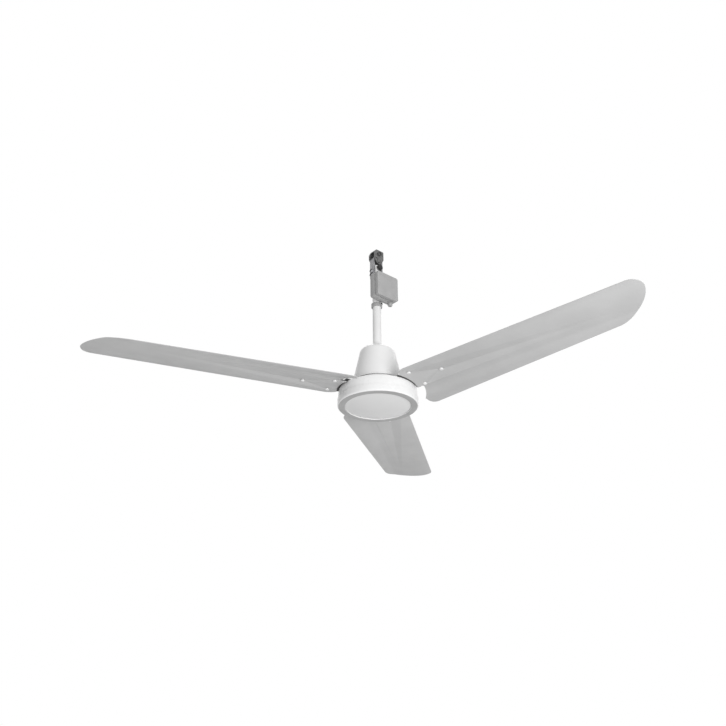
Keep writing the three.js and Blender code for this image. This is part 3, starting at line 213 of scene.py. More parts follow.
paint.links.new(floor_look.outputs[0], paint.nodes["Material Output"].inputs["Surface"])
floor.data.materials.append(floor_paint)

# %% The world
WORLD_LIGHT = 0.45

world = bpy.data.worlds.new("studio")
bpy.context.scene.world = world
world.use_nodes = True
sky = world.node_tree
sky.nodes.clear()
soft_light = add_node(sky, "ShaderNodeBackground", {"Color": WHITE, "Strength": WORLD_LIGHT})
white_backdrop = add_node(sky, "ShaderNodeBackground", {"Color": WHITE, "Strength": 1.0})
both = add_node(
    sky, "ShaderNodeMixShader",
    {0: rays_that_see_white(sky), 1: soft_light.outputs[0], 2: white_backdrop.outputs[0]},
)
add_node(sky, "ShaderNodeOutputWorld", {"Surface": both.outputs[0]})

# %% The lamps
LAMP_TARGET = Vector((0, 0, -0.36))


def soft_lamp(name, azimuth, elevation, distance, size, watts):
    """A square area lamp. Azimuth is measured from the camera's side, positive to its right."""
    turn = CAMERA_AZIMUTH + math.radians(azimuth)
    rise = math.radians(elevation)
    away = Vector((
        math.sin(turn) * math.cos(rise),
        -math.cos(turn) * math.cos(rise),
        math.sin(rise),
    ))
    data = bpy.data.lights.new(name, "AREA")
    data.shape = "SQUARE"
    data.size = size
    data.energy = watts
    lamp = linked(name, data)
    lamp.location = LAMP_TARGET + away * distance
    lamp.rotation_euler = away.to_track_quat("Z", "Y").to_euler()


soft_lamp("key_lamp", azimuth=25, elevation=-24, distance=3.4, size=1.6, watts=81)
soft_lamp("back_lamp", azimuth=165, elevation=58, distance=3.0, size=2.2, watts=30)

bpy.context.scene.view_settings.view_transform = "Standard"
print("studio ready: floor, world and", len(bpy.data.lights), "lamps")

# %% [markdown]
# ## Paints and metals
#
# Nearly everything on this fan is steel with a coat on it. Sprayed and baked enamel levels out
# almost like glass but keeps a faint ripple, known as orange peel, about three millimetres from
# crest to crest. Powder coat on the blades is a little rougher and its ripple is finer. Bright
# zinc plating shows a soft crystalline cloudiness, and phosphated steel is nearly black with a
# dry surface. Each material below is one Principled shader whose roughness and bump come from
# noise in real sizes.

# %% A starting point shared by all the finishes
def new_finish(name, colour, roughness, metallic=0.0):
    """Returns a material with one Principled shader, its tree, the shader and its coordinates."""
    material = bpy.data.materials.new(name)
    material.use_nodes = True
    tree = material.node_tree
    shader = tree.nodes["Principled BSDF"]
    shader.inputs["Base Color"].default_value = linear(colour)
    shader.inputs["Roughness"].default_value = roughness
    shader.inputs["Metallic"].default_value = metallic
    coordinates = add_node(tree, "ShaderNodeTexCoord")
    return material, tree, shader, coordinates.outputs["Object"]


def noise_of_size(tree, coordinates, size_mm, detail=2.0):
    """Noise whose lumps are about size_mm across on the real surface."""
    return add_node(
        tree, "ShaderNodeTexNoise",
        {"Vector": coordinates, "Scale": 1 / (size_mm * MM), "Detail": detail},
    ).outputs["Fac"]


NOISE_SPAN = (0.3, 0.7)
TINT_SPAN = (0.32, 0.68)


def spread(tree, value, low, high):
    """Turns noise, which mostly stays within NOISE_SPAN, into a number from low to high."""
    least, most = NOISE_SPAN
    return add_node(
        tree, "ShaderNodeMapRange",
        {"Value": value, "From Min": least, "From Max": most, "To Min": low, "To Max": high},
    ).outputs["Result"]


def tint(tree, shader, value, dark, light):
    """Lets a shader's colour drift between two hex values with the noise."""
    ramp = add_node(tree, "ShaderNodeValToRGB", {"Fac": value})
    for element, position, colour in zip(ramp.color_ramp.elements, TINT_SPAN, (dark, light)):
        element.position = position
        element.color = linear(colour)
    tree.links.new(ramp.outputs["Color"], shader.inputs["Base Color"])


def vary_roughness(tree, shader, value, low, high):
    """Lets a shader's roughness drift from low to high with the noise."""
    tree.links.new(spread(tree, value, low, high), shader.inputs["Roughness"])


def raise_bumps(tree, shader, value, height_mm, strength=1.0):
    """Bump of a real height on a shader."""
    bump = add_node(
        tree, "ShaderNodeBump", {"Height": value, "Distance": height_mm * MM, "Strength": strength}
    )
    tree.links.new(bump.outputs["Normal"], shader.inputs["Normal"])


# %% Coats: enamel, powder coat and black oxide
ORANGE_PEEL = 3.0
POWDER_RIPPLE = 1.6
DUST_CLOUD = 90


def enamel(name, dark, light, roughness, ripple=ORANGE_PEEL, peel_height=0.005):
    """Baked enamel on pressed steel: smooth, glossy, with a faint ripple and a haze of dust."""
    material, tree, shader, place = new_finish(name, light, roughness)
    shader.inputs["IOR"].default_value = 1.5
    haze = noise_of_size(tree, place, DUST_CLOUD, detail=4)
    tint(tree, shader, haze, dark, light)
    smears = noise_of_size(tree, place, DUST_CLOUD / 3, 3)
    vary_roughness(tree, shader, smears, roughness - 0.05, roughness + 0.07)
    raise_bumps(tree, shader, noise_of_size(tree, place, ripple, 1), peel_height)
    return material


FINISHES = {
    "white_enamel": enamel("baked_white_enamel", "F1F1F1", "F5F5F5", 0.3),
    "rod_enamel": enamel("white_enamel_on_pipe", "E9E9E9", "EFEFEF", 0.34),
    # Painted shade in part: the blades' grey is their pale paint, darkened to stand for the shade
    # on their undersides.
    "blade_enamel": enamel("pale_grey_powder_coat_and_painted_shade", "C1C1C1", "C7C7C7", 0.42, POWDER_RIPPLE, 0.02),
    # Painted shade: on the blade irons this black stands for the shaded gap at the drum's rim; on
    # bolts and nuts it is black oxide.
    "black_steel": enamel("black_oxide_and_painted_gap_shade", "1A1A1A", "2A2A2A", 0.5, 0.8, 0.01),
}

# The cap is a slightly darker white than the drum, the ring's grey is painted shade, the collar is
# mid grey.
CAP_FINISH = enamel("white_enamel_on_the_cap", "E2E2E2", "E7E7E7", 0.32)
# Painted shade: the grey of the flat ring under the drum stands for the shade on that
# downward-facing ring.
RING_PAINTED_SHADE = enamel("ring_enamel_grey_with_painted_shade", "ACACAC", "B4B4B4", 0.45)
COLLAR_FINISH = enamel("mid_grey_collar_finish", "9E9E9E", "A8A8A8", 0.5, POWDER_RIPPLE, 0.02)

# %% Bare and plated metals
ROLLED_GRAIN = 0.35
PLATING_CLOUD = 5


def plated(name, dark, light, roughness, cloud=PLATING_CLOUD, grain_height=0.006, metallic=1.0):
    """Plated or phosphated steel: cloudy colour over a fine rolled grain."""
    material, tree, shader, place = new_finish(name, light, roughness, metallic)
    clouds = noise_of_size(tree, place, cloud, 3)
    tint(tree, shader, clouds, dark, light)
    vary_roughness(tree, shader, clouds, roughness - 0.08, roughness + 0.1)
    raise_bumps(tree, shader, noise_of_size(tree, place, ROLLED_GRAIN, 2), grain_height)
    return material


FINISHES["zinc_steel"] = plated("bright_zinc_plating", "A9A9AB", "CFCFD1", 0.34)
FINISHES["dark_steel"] = plated("dark_phosphated_steel", "666666", "868686", 0.55)
FINISHES["laminated_steel"] = plated("stamped_lamination_steel", "6C6E70", "85888A", 0.45)
FINISHES["copper"] = plated("enamelled_copper_wire", "8F4C26", "B9693A", 0.35, cloud=3)

# The strap's plating is a darker grey than bright zinc, and a little rougher.
STRAP_FINISH = plated("darker_rougher_zinc_plating", "808082", "A4A4A6", 0.42)

# Painted reflection: a light, part-metallic colour makes the blades' screws read as bright spots of
# reflected room.
SCREW_PAINTED_REFLECTION = plated("bright_plating_with_painted_reflection", "E6E6E6", "F8F8F8", 0.32, metallic=0.3)

# %% Mouldings: plastic and rubber
SPARK_TEXTURE = 0.9
RUBBER_GRAIN = 0.6
PIGMENT_DRIFT = 24


def moulded(name, dark, light, roughness, grain=SPARK_TEXTURE, grain_height=0.02):
    """Moulded plastic or rubber: an even colour and the fine eroded texture of the tool."""
    material, tree, shader, place = new_finish(name, light, roughness)
    shader.inputs["IOR"].default_value = 1.46
    tint(tree, shader, noise_of_size(tree, place, PIGMENT_DRIFT, 3), dark, light)
    fine = noise_of_size(tree, place, grain, 2)
    vary_roughness(tree, shader, fine, roughness - 0.05, roughness + 0.08)
    raise_bumps(tree, shader, fine, grain_height)
    return material


FINISHES["box_plastic"] = moulded("moulded_grey_abs", "A8A8A8", "B0B0B0", 0.5)
FINISHES["rubber"] = moulded("black_moulded_rubber", "1B1B1B", "262626", 0.8, RUBBER_GRAIN)
FINISHES["capacitor_plastic"] = moulded("black_capacitor_case", "202226", "2B2D32", 0.45)
FINISHES["terminal_nylon"] = moulded("natural_nylon", "DDD8CB", "E8E4D8", 0.55)
print(len(FINISHES), "finishes:", ", ".join(sorted(FINISHES)))

# %% [markdown]
# ## Helpers for shaping
#
# Most of the fan is turned or spun, so one helper spins a closed outline round the vertical axis.
# Its corners are rounded first, each by its own amount, because no pressed or turned part has a
# knife edge. Others take the sharp edges of flat parts off with a narrow bevel, and cut holes and
# recesses with a tool. The last one closes a piece: it makes the normals point outwards, smooths
# what is round, turns millimetres to metres, and lets the piece ride on its body.

# %% Spin an outline of [radius, height, rounding] corners
ON_AXIS = 1e-6
SAME_POINT = 1e-4


def bevelled(bm, geom, width, segments, affect="EDGES", **more):
    """Rounds off some edges or corners."""
    bmesh.ops.bevel(
        bm, geom=geom, offset=width, segments=segments, profile=0.5, affect=affect, material=-1,
        **more,
    )


def spun(corners, steps, arc_segments=6):
    """A closed outline turned about Z. Rounding is how far from the corner the curve starts."""
    bm = bmesh.new()
    vertices = [bm.verts.new((corner[0], 0, corner[1])) for corner in corners]
    bm.faces.new(vertices)
    for vertex, corner in zip(vertices, corners):
        if len(corner) > 2:
            bevelled(bm, [vertex], corner[2], arc_segments, "VERTICES", offset_type="OFFSET")
    bmesh.ops.delete(bm, geom=list(bm.faces), context="FACES_ONLY")
    on_axis = [e for e in bm.edges if all(abs(v.co.x) < ON_AXIS for v in e.verts)]
    bmesh.ops.delete(bm, geom=on_axis, context="EDGES_FACES")
    bmesh.ops.spin(
        bm, geom=[*bm.verts, *bm.edges], cent=(0, 0, 0), axis=(0, 0, 1), dvec=(0, 0, 0),
        angle=FULL_TURN, steps=steps, use_merge=True, use_duplicate=False,
    )
    bmesh.ops.remove_doubles(bm, verts=bm.verts, dist=SAME_POINT)
    return bm


# %% Blocks and extrusions
def cuboid(size, middle=(0, 0, 0)):
    """A rectangular block about a middle point."""
    bm = bmesh.new()
    bmesh.ops.create_cube(bm, size=1)
    return moved(bm, at(*middle) @ Matrix.Diagonal((*size, 1)))


def grown(bm, faces, step):
    """Extrudes faces by a step and returns the faces that moved."""
    geom = bmesh.ops.extrude_face_region(bm, geom=faces)["geom"]
    bmesh.ops.translate(
        bm, verts=[g for g in geom if isinstance(g, bmesh.types.BMVert)], vec=step
    )
    return [g for g in geom if isinstance(g, bmesh.types.BMFace)]


# %% Soften sharp edges, and cut one shape with another
def soften(bm, width, least_angle=40, segments=2):
    """A narrow bevel on every edge sharper than least_angle degrees."""
    sharp = [
        e for e in bm.edges
        if len(e.link_faces) == 2 and e.calc_face_angle() > math.radians(least_angle)
    ]
    bevelled(bm, sharp, width, segments, offset_type="OFFSET", clamp_overlap=True)
    return bm


def carved(bm, tool, operation="DIFFERENCE"):
    """One bmesh cut by, joined to or kept inside another, through the Boolean modifier."""
    pair = []
    for shape in (bm, tool):
        bmesh.ops.recalc_face_normals(shape, faces=shape.faces)
        pair.append(linked("carving", mesh_of(shape, "carving")))
    cutter = pair[0].modifiers.new("cut", "BOOLEAN")
    cutter.operation = operation
    cutter.object = pair[1]
    cutter.solver = "EXACT"
    depsgraph = bpy.context.evaluated_depsgraph_get()
    result = bmesh.new()
    result.from_mesh(pair[0].evaluated_get(depsgraph).data)
    for piece in pair:
        mesh = piece.data
        bpy.data.objects.remove(piece)
        bpy.data.meshes.remove(mesh)
    bmesh.ops.remove_doubles(result, verts=result.verts, dist=SAME_POINT)
    return result


def cylinder(radius, low, high, segments=32):
    """A plain round tool along Z, for drilling."""
    bm = bmesh.new()
    bmesh.ops.create_cone(
        bm, cap_ends=True, segments=segments, radius1=radius, radius2=radius, depth=high - low
    )
    return moved(bm, at(0, 0, (low + high) / 2))


def moved(bm, matrix):
    """The same bmesh, turned and moved by a matrix."""
    bmesh.ops.transform(bm, matrix=matrix, verts=bm.verts)
    return bm


def at(*place):
    """A move to a place."""
    return Matrix.Translation(place)


def turned(angle):
    """A turn about the fan's upright axis."""
    return Matrix.Rotation(angle, 4, "Z")


ALONG_X = Matrix.Rotation(math.pi / 2, 4, "Y")
ALONG_Y = Matrix.Rotation(-math.pi / 2, 4, "X")


# %% Finish a piece and let it ride on its body
def describe(piece):
    """Prints a piece's face count and how far its box is from the parts that it stands for."""
    lows, highs = zip(*[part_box(node) for node in piece["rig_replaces"]])
    corners = [Vector(c) for c in piece.bound_box]
    off = max(
        max(abs(min(c[i] for c in corners) - min(l[i] for l in lows)) for i in range(3)),
        max(abs(max(c[i] for c in corners) - max(h[i] for h in highs)) for i in range(3)),
    )
    faces = len(piece.data.polygons)
    print(f"{piece.name}: {faces} faces, box within {off / MM:.2f} mm of the frame's")


def finished(bm, name, body, slot, replaced, smooth_below=35, finish=None):
    """Closes a bmesh in millimetres into a piece that stands for parts of the frame."""
    bmesh.ops.recalc_face_normals(bm, faces=bm.faces)
    moved(bm, Matrix.Scale(MM, 4))
    mesh = mesh_of(bm, name)
    mesh.shade_smooth()
    mesh.set_sharp_from_angle(angle=math.radians(smooth_below))
    mesh.materials.append(finish or FINISHES[slot])
    piece = linked(name, mesh)
    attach(piece, body)
    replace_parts(piece, *replaced)
    describe(piece)
    return piece


# %% [markdown]
# ## The canopy
#
# The bell that hides the lower end of the rod is pressed from one disc of steel. Its side is
# straight, its shoulder is one generous curve, and its crown rises a touch to a hole that clears
# the rod. A straight side and a rounded corner are exactly what an outline with a rounding gives,
# so the bell is spun from eight corners, four outside and four inside. The lowest pair is a short
# upright hem, which closes the view into the bell above the drum's neck and runs clear round it.

# %% Spin the bell
BELL_STEPS = 160
BELL_WALL = 1.5
SHOULDER_CORNER_RADIUS = 41.7
SHOULDER_CORNER_DROP = 2.8
SHOULDER_ROUNDING = 11.4
BELL_HOLE_RADIUS = 11.5
BELL_LIP_ROUNDING = 0.5
HEM_DROP = 2.0

bell_foot = canopy_high.x
bell_shoulder = canopy_high.z - SHOULDER_CORNER_DROP
bell_hem = canopy_low.z - HEM_DROP
bell = spun([
    [bell_foot, bell_hem, BELL_LIP_ROUNDING],
    [bell_foot, canopy_low.z, BELL_LIP_ROUNDING],
    [SHOULDER_CORNER_RADIUS, bell_shoulder, SHOULDER_ROUNDING],
    [BELL_HOLE_RADIUS, canopy_high.z, 0.4],
    [BELL_HOLE_RADIUS, canopy_high.z - BELL_WALL, 0.4],
    [SHOULDER_CORNER_RADIUS - BELL_WALL, bell_shoulder - BELL_WALL, SHOULDER_ROUNDING - 1],
    [bell_foot - BELL_WALL, canopy_low.z, BELL_LIP_ROUNDING],
    [bell_foot - BELL_WALL, bell_hem, BELL_LIP_ROUNDING],
], BELL_STEPS, arc_segments=10)
finished(bell, "canopy_bell", "canopy", "white_enamel", ["canopy"])

# %% [markdown]
# ## The motor drum
#
# The motor is of the outer-rotor kind: the whole drum turns and the shaft inside stands still.
# The drum is two pressed shells that meet at a fine seam, closed below by a shallow domed cap.
# The upper shell has a raised neck under the canopy with small cooling slots in its wall. The
# lower shell turns in through a soft curve to a flat ring, and the cap sits in a shallow recess
# inside that ring.

# %% The upper shell with its slotted neck
DRUM_STEPS = 192
SHELL = 2.5
NECK_RADIUS = 59.5
SHOULDER_TOP_DROP = 18.9
RIM_RADIUS = 95.6
SHAFT_HOLE = 9.0
SLOT_COUNT = 6
SLOT_WIDTH = 7
SLOT_HEIGHT = 2
SLOT_DROP = 4
SLOT_END_SHARE = 0.45
BOSS_INNER = 16.3
BOSS_OUTER = 19.5
BOSS_HEIGHT = 6.3

neck_top = top_high.z
rim_top = neck_top - SHOULDER_TOP_DROP
upper_shell = spun([
    [SHAFT_HOLE, neck_top, 0.3],
    [NECK_RADIUS, neck_top, 1.2],
    [NECK_RADIUS, rim_top, 1.0],
    [RIM_RADIUS, rim_top, 3.0],
    [top_high.x, top_low.z, 0.5],
    [top_high.x - SHELL, top_low.z],
    [RIM_RADIUS - SHELL, rim_top - SHELL, 2.0],
    [NECK_RADIUS - SHELL, rim_top - SHELL],
    [NECK_RADIUS - SHELL, neck_top - SHELL],
    [BOSS_OUTER, neck_top - SHELL],
    [BOSS_OUTER, neck_top - SHELL - BOSS_HEIGHT],
    [BOSS_INNER, neck_top - SHELL - BOSS_HEIGHT],
    [BOSS_INNER, neck_top - SHELL],
    [SHAFT_HOLE, neck_top - SHELL],
], DRUM_STEPS)


def upright_slot(angle):
    """A round-ended cutting tool that passes through the neck's wall."""
    bm = cuboid((SHELL * 3, SLOT_WIDTH, SLOT_HEIGHT))
    ends = [e for e in bm.edges if abs(e.verts[0].co.x - e.verts[1].co.x) > 1]
    bevelled(bm, ends, SLOT_HEIGHT * SLOT_END_SHARE, 5)
    out = at(NECK_RADIUS - SHELL / 2, 0, neck_top - SLOT_DROP)
    return moved(bm, turned(angle) @ out)


for turn in range(SLOT_COUNT):
    upper_shell = carved(upper_shell, upright_slot(FULL_TURN * (turn + 0.5) / SLOT_COUNT))
finished(upper_shell, "drum_upper_shell", "rotor", "white_enamel", ["housing_top"])

# %% The lower shell
RING_INNER = 80
RECESS = 3.5
CUP_CORNER_ROUNDING = 4
CUP_FLOOR = cup_low.z + RECESS + SHELL
FLAT_WITHIN = 0.5
FACING_DOWN = -0.9
BOSS_SHORTER_BY = 0.3

lower_shell = spun([
    [0, cup_low.z + RECESS],
    [RING_INNER, cup_low.z + RECESS, 0.6],
    [RING_INNER, cup_low.z, 0.8],
    [cup_high.x, cup_low.z, CUP_CORNER_ROUNDING],
    [cup_high.x, cup_high.z, 0.9],
    [cup_high.x - SHELL, cup_high.z],
    [cup_high.x - SHELL, cup_low.z + SHELL, CUP_CORNER_ROUNDING - SHELL],
    [RING_INNER + SHELL, cup_low.z + SHELL],
    [RING_INNER + SHELL, CUP_FLOOR],
    [BOSS_OUTER, CUP_FLOOR],
    [BOSS_OUTER, CUP_FLOOR + BOSS_HEIGHT - BOSS_SHORTER_BY],
    [BOSS_INNER, CUP_FLOOR + BOSS_HEIGHT - BOSS_SHORTER_BY],
    [BOSS_INNER, CUP_FLOOR],
    [0, CUP_FLOOR],
], DRUM_STEPS, arc_segments=8)
drum_cup = finished(lower_shell, "drum_lower_shell", "rotor", "white_enamel", ["housing_cup"])
# Painted shade: faces of the flat ring that point straight down take the ring's grey, which stands
# for their shade.
drum_cup.data.materials.append(RING_PAINTED_SHADE)
for face in drum_cup.data.polygons:
    if face.normal.z < FACING_DOWN and face.center.z < (cup_low.z + FLAT_WITHIN) * MM:
        face.material_index = 1

# %% The domed cap
CAP_LIP = 2
CAP_LIP_WIDTH = 3
CAP_WALL = 1.8
DOME_POINTS = 14

cap_sag = cap_high.z - CAP_LIP - cap_low.z
dome_radius = cap_high.x - CAP_LIP_WIDTH


def dome(radius, edge_height):
    """Half of a shallow bowl's outline, hanging from edge_height, from its edge to the axis."""
    shares = [1 - i / DOME_POINTS for i in range(DOME_POINTS + 1)]
    return [[radius * share, edge_height - cap_sag * (1 - share ** 2)] for share in shares]


cap = spun([
    *dome(dome_radius - CAP_WALL, cap_high.z)[::-1],
    [cap_high.x, cap_high.z, 0.4],
    [cap_high.x, cap_high.z - CAP_LIP, 0.8],
    *dome(dome_radius, cap_high.z - CAP_LIP),
], DRUM_STEPS)
finished(cap, "drum_domed_cap", "rotor", "white_enamel", ["housing_cap"], finish=CAP_FINISH)

# %% [markdown]
# ## The blades
#
# Each blade is a long sheet of steel with a strip along its trailing side bent down a little more
# than the rest. The outline is drawn flat, in the blade's own plan: x runs out from the shaft and
# y across towards the trailing side. Cutting that one face along lines beside the crease leaves
# narrow strips there. Every corner is then lifted to the height of the folded sheet at its place,
# which folds the face without stretching it. An extrusion gives the sheet its thickness.

# %% Sizes of a blade
BLADE_ANGLES = [math.radians(38.6 + 120 * i) for i in range(3)]
SHEET = 1.2
MID_DEPTH = 394.6
PITCH_RADIUS = 400
PITCH = -0.0881
RISE = 0.0287
SWEEP_RADIUS = 700
LEADING = -53.5
CREASE = 55.4
CREASE_HALF_WIDTH = 4
STRIP_SLOPE = -0.289
TRAILING_AT_PITCH_RADIUS = 89.9
TRAILING_TAPER = -0.0522
TAB_RADIUS = 100.7
TAB_TRAILING = 38.6
ROOT_CORNER_ACROSS = -38
ROOT_CORNER_BEND = (101, -50)
ROOT_CORNER_END = 119
CUT_OUT_RADIUS = 117.5
TAB_CORNER = 4
TAB_CORNER_PULL = (1, 3)
TAB_CORNER_RUN = 9
STRIP_CORNER = 11
STRIP_CORNER_ALONG = 12
STRIP_END_INSET = 8
STRIP_END_GAP = 2
TIP_OVERRUN = 0.4
TIP_CORNER = 25
TIP_CORNER_PULL = (3, 1.5)
TIP_CORNER_STRETCH = 3
TIP_BULGE = 1
TIP_BULGE_AT = 2.3
TIP_SWEEP = 98
TIP_SWEEP_PULL = (52, -8)


def trailing(along):
    """Where the trailing edge is, across the blade, at a distance out from the shaft."""
    return TRAILING_AT_PITCH_RADIUS + TRAILING_TAPER * (along - PITCH_RADIUS)


def sheet_height(along, across):
    """Height of the folded sheet's underside: pitched and rising, with the strip bent down."""
    lift = -MID_DEPTH + RISE * (along - PITCH_RADIUS)
    past = across - CREASE
    if past <= -CREASE_HALF_WIDTH:
        return lift + PITCH * across
    if past >= CREASE_HALF_WIDTH:
        return lift + PITCH * CREASE + STRIP_SLOPE * past
    share = (past + CREASE_HALF_WIDTH) / (2 * CREASE_HALF_WIDTH)
    return lift + PITCH * across + (STRIP_SLOPE - PITCH) * CREASE_HALF_WIDTH * share ** 2


# %% Draw the outline in plan
def on_circle(radius, across):
    """How far out along the blade a circle about the shaft lies, at a distance across it."""
    return math.sqrt(radius ** 2 - across ** 2)


def arc(radius, start, end, steps):
    """Points on a circle about the shaft, between two angles."""
    angles = [start + (end - start) * i / steps for i in range(steps + 1)]
    return [(radius * math.cos(a), radius * math.sin(a)) for a in angles]


def curve(*knots, steps):
    """A quadratic or cubic curve through three or four points."""
    points = [Vector((*knot, 0)) for knot in knots]
    if len(points) == 3:
        start, middle, end = points
        points = [start, start.lerp(middle, 2 / 3), end.lerp(middle, 2 / 3), end]
    start, first, second, end = points
    return [(p.x, p.y) for p in interpolate_bezier(start, first, second, end, steps)]


def blade_outline():
    """The plan of a blade, counter-clockwise from the leading corner of the root tab."""
    tip = SWEEP_RADIUS + TIP_OVERRUN
    tip_start = SWEEP_RADIUS - TIP_SWEEP
    strip_end_y = trailing(CUT_OUT_RADIUS) - STRIP_CORNER - STRIP_END_INSET
    strip_end_x = on_circle(CUT_OUT_RADIUS + STRIP_END_GAP, strip_end_y)
    tab_edge = on_circle(CUT_OUT_RADIUS, TAB_TRAILING)
    tip_corner_end = (tip, LEADING + TIP_CORNER + TIP_CORNER_STRETCH)
    points = [
        *curve(
            (on_circle(TAB_RADIUS, ROOT_CORNER_ACROSS), ROOT_CORNER_ACROSS), ROOT_CORNER_BEND,
            (ROOT_CORNER_END, LEADING),
            steps=10,
        ),
        *curve(
            (tip - TIP_CORNER, LEADING),
            (tip - TIP_CORNER_PULL[0], LEADING + TIP_CORNER_PULL[1]),
            tip_corner_end,
            steps=12,
        ),
        *curve(
            tip_corner_end,
            (tip + TIP_BULGE, LEADING + TIP_BULGE_AT * TIP_CORNER),
            (tip_start + TIP_SWEEP_PULL[0], trailing(tip_start) + TIP_SWEEP_PULL[1]),
            (tip_start, trailing(tip_start)),
            steps=28,
        )[1:],
        *curve(
            (strip_end_x + STRIP_CORNER + STRIP_CORNER_ALONG, trailing(strip_end_x)),
            (strip_end_x + 1, trailing(strip_end_x)),
            (strip_end_x, strip_end_y),
            steps=12,
        ),
        *arc(
            CUT_OUT_RADIUS, math.atan2(strip_end_y, strip_end_x),
            math.asin((TAB_TRAILING + TAB_CORNER) / CUT_OUT_RADIUS), 16,
        ),
        *curve(
            (on_circle(CUT_OUT_RADIUS, TAB_TRAILING + TAB_CORNER), TAB_TRAILING + TAB_CORNER),
            (tab_edge - TAB_CORNER_PULL[0], TAB_TRAILING - TAB_CORNER_PULL[1]),
            (tab_edge - TAB_CORNER_RUN, TAB_TRAILING),
            steps=8,
        )[1:],
        *arc(
            TAB_RADIUS, math.asin(TAB_TRAILING / TAB_RADIUS),
            math.asin(ROOT_CORNER_ACROSS / TAB_RADIUS), 28,
        ),
    ]
    return points[:-1]


print(len(blade_outline()), "points round a blade")

# %% Fold the sheet and thicken it
CREASE_STRIPS = 10
SHEET_EDGE = 0.35
SCREW_SPOTS = [(120, -31), (120, 31.5), (191, 0.3)]
SCREW_SHANK = 2.5
CLEARANCE = 0.3
MARK_SPOT = (184, -2.5)
MARK_RADIUS = 1.1
DRILL_REACH = 5


def blade_sheet():
    """One blade in its own plan, folded, given its thickness, bored, with its rim rounded over."""
    bm = bmesh.new()
    bm.faces.new([bm.verts.new((x, y, 0)) for x, y in blade_outline()])
    for i in range(CREASE_STRIPS + 1):
        across = CREASE + CREASE_HALF_WIDTH * (2 * i / CREASE_STRIPS - 1)
        bmesh.ops.bisect_plane(
            bm, geom=[*bm.verts, *bm.edges, *bm.faces], dist=1e-5, plane_co=(0, across, 0),
            plane_no=(0, 1, 0),
        )
    for vertex in bm.verts:
        vertex.co.z = sheet_height(vertex.co.x, vertex.co.y)
    grown(bm, list(bm.faces), (0, 0, SHEET))
    bmesh.ops.recalc_face_normals(bm, faces=bm.faces)
    holes = [(spot, SCREW_SHANK + CLEARANCE, 32) for spot in SCREW_SPOTS]
    for (along, across), radius, segments in [*holes, (MARK_SPOT, MARK_RADIUS, 20)]:
        height = sheet_height(along, across)
        drill = cylinder(radius, height - DRILL_REACH, height + DRILL_REACH, segments)
        bm = carved(bm, moved(drill, at(along, across, 0)))
    return soften(bm, SHEET_EDGE, least_angle=50)


for i, angle in enumerate(BLADE_ANGLES):
    sheet = moved(blade_sheet(), turned(angle))
    finished(sheet, f"blade_sheet_{i + 1}", "rotor", "blade_enamel", [f"blade_{i + 1}"])

# %% [markdown]
# ## Screws, bolts and nuts
#
# A pan-head screw is one spun outline with a cross cut into its head. The machine bolts have a
# six-sided head whose corners are turned off by a cone, and a shank with a fine thread. At this
# size a thread reads as a row of rings, so rings are what the outline gets: a helix would look
# the same and cost many more faces.

# %% The pan-head screw that holds a blade
PAN_HEAD_RADIUS = 5.2
PAN_HEAD_HEIGHT = 2.6
PAN_SCREW_LENGTH = 6
CROSS_WIDTH = 1.1
CROSS_LENGTH = 4.6
CROSS_DEPTH = 1.4
THREAD_PITCH = 0.8
THREAD_DEPTH = 0.35
THREAD_RUN_OUT = 0.6
HEAD_SHOULDER = (0.94, 0.55, 0.3)
HEAD_CROWN = (0.6, 0.5)


def thread(radius, low, high, pitch=THREAD_PITCH, depth=THREAD_DEPTH):
    """The zigzag outline of a threaded length, from low to high."""
    turns = max(1, round((high - low) / pitch))
    step = (high - low) / turns
    corners = []
    for i in range(turns):
        corners.append([radius - depth, low + step * i])
        corners.append([radius, low + step * (i + 0.5)])
    return [*corners, [radius - depth, high]]


def pan_screw(shank, head, head_height, length, cross_length):
    """A pan-head screw along -Z, its head above z = 0, with a cross recess."""
    bm = spun([
        [0, -length],
        *thread(shank, -length, -THREAD_RUN_OUT),
        [shank, -THREAD_RUN_OUT / 2],
        [shank, 0],
        [head, 0, 0.3],
        [head * HEAD_SHOULDER[0], *(head_height * share for share in HEAD_SHOULDER[1:])],
        [head * HEAD_CROWN[0], head_height, head_height * HEAD_CROWN[1]],
        [0, head_height],
    ], 28, arc_segments=4)
    for angle in (0, math.pi / 2):
        slot = cuboid((cross_length, CROSS_WIDTH, 2 * CROSS_DEPTH))
        place = at(0, 0, head_height) @ turned(angle)
        bm = carved(bm, moved(slot, place))
    return bm


def copy_of(mesh, matrix):
    """A copy of a shape that is kept as a mesh, so that it doesn't have to be shaped again."""
    bm = bmesh.new()
    bm.from_mesh(mesh)
    return moved(bm, matrix)


blade_screw = mesh_of(
    pan_screw(SCREW_SHANK, PAN_HEAD_RADIUS, PAN_HEAD_HEIGHT, PAN_SCREW_LENGTH, CROSS_LENGTH),
    "blade_screw_master",
)
sheet_normal = Vector((-RISE, -PITCH, 1)).normalized()
square_to_sheet = sheet_normal.to_track_quat("Z", "Y").to_matrix().to_4x4()
head_down = Matrix.Rotation(math.pi, 4, "X")
for i, angle in enumerate(BLADE_ANGLES):
    for k, (along, across) in enumerate(SCREW_SPOTS):
        seat = at(along, across, sheet_height(along, across) - CLEARANCE)
        place = turned(angle) @ seat @ square_to_sheet @ head_down
        finished(
            copy_of(blade_screw, place), f"blade_pan_screw_{i + 1}_{k + 1}", "rotor", "zinc_steel",
            [f"blade_screw_{i + 1}_{k + 1}"], finish=SCREW_PAINTED_REFLECTION,
        )

# %% The screws that hold the irons to the drum, and those of the box
SMALL_HEAD_RADIUS = 3.4
SMALL_HEAD_HEIGHT = 1.8
SMALL_SHANK = 1.8
SMALL_CROSS = 3.0
BOX_SCREWS = ("lid_screw", "saddle_screw_1", "saddle_screw_2")
IRON_SCREW_HEAD = (4.6, 2.6)
IRON_SCREW_SHANK = 2.4
IRON_SCREW_LENGTH = 7.7
IRON_SCREW_CROSS = 4.2
IRON_SCREW_COUNT = 6

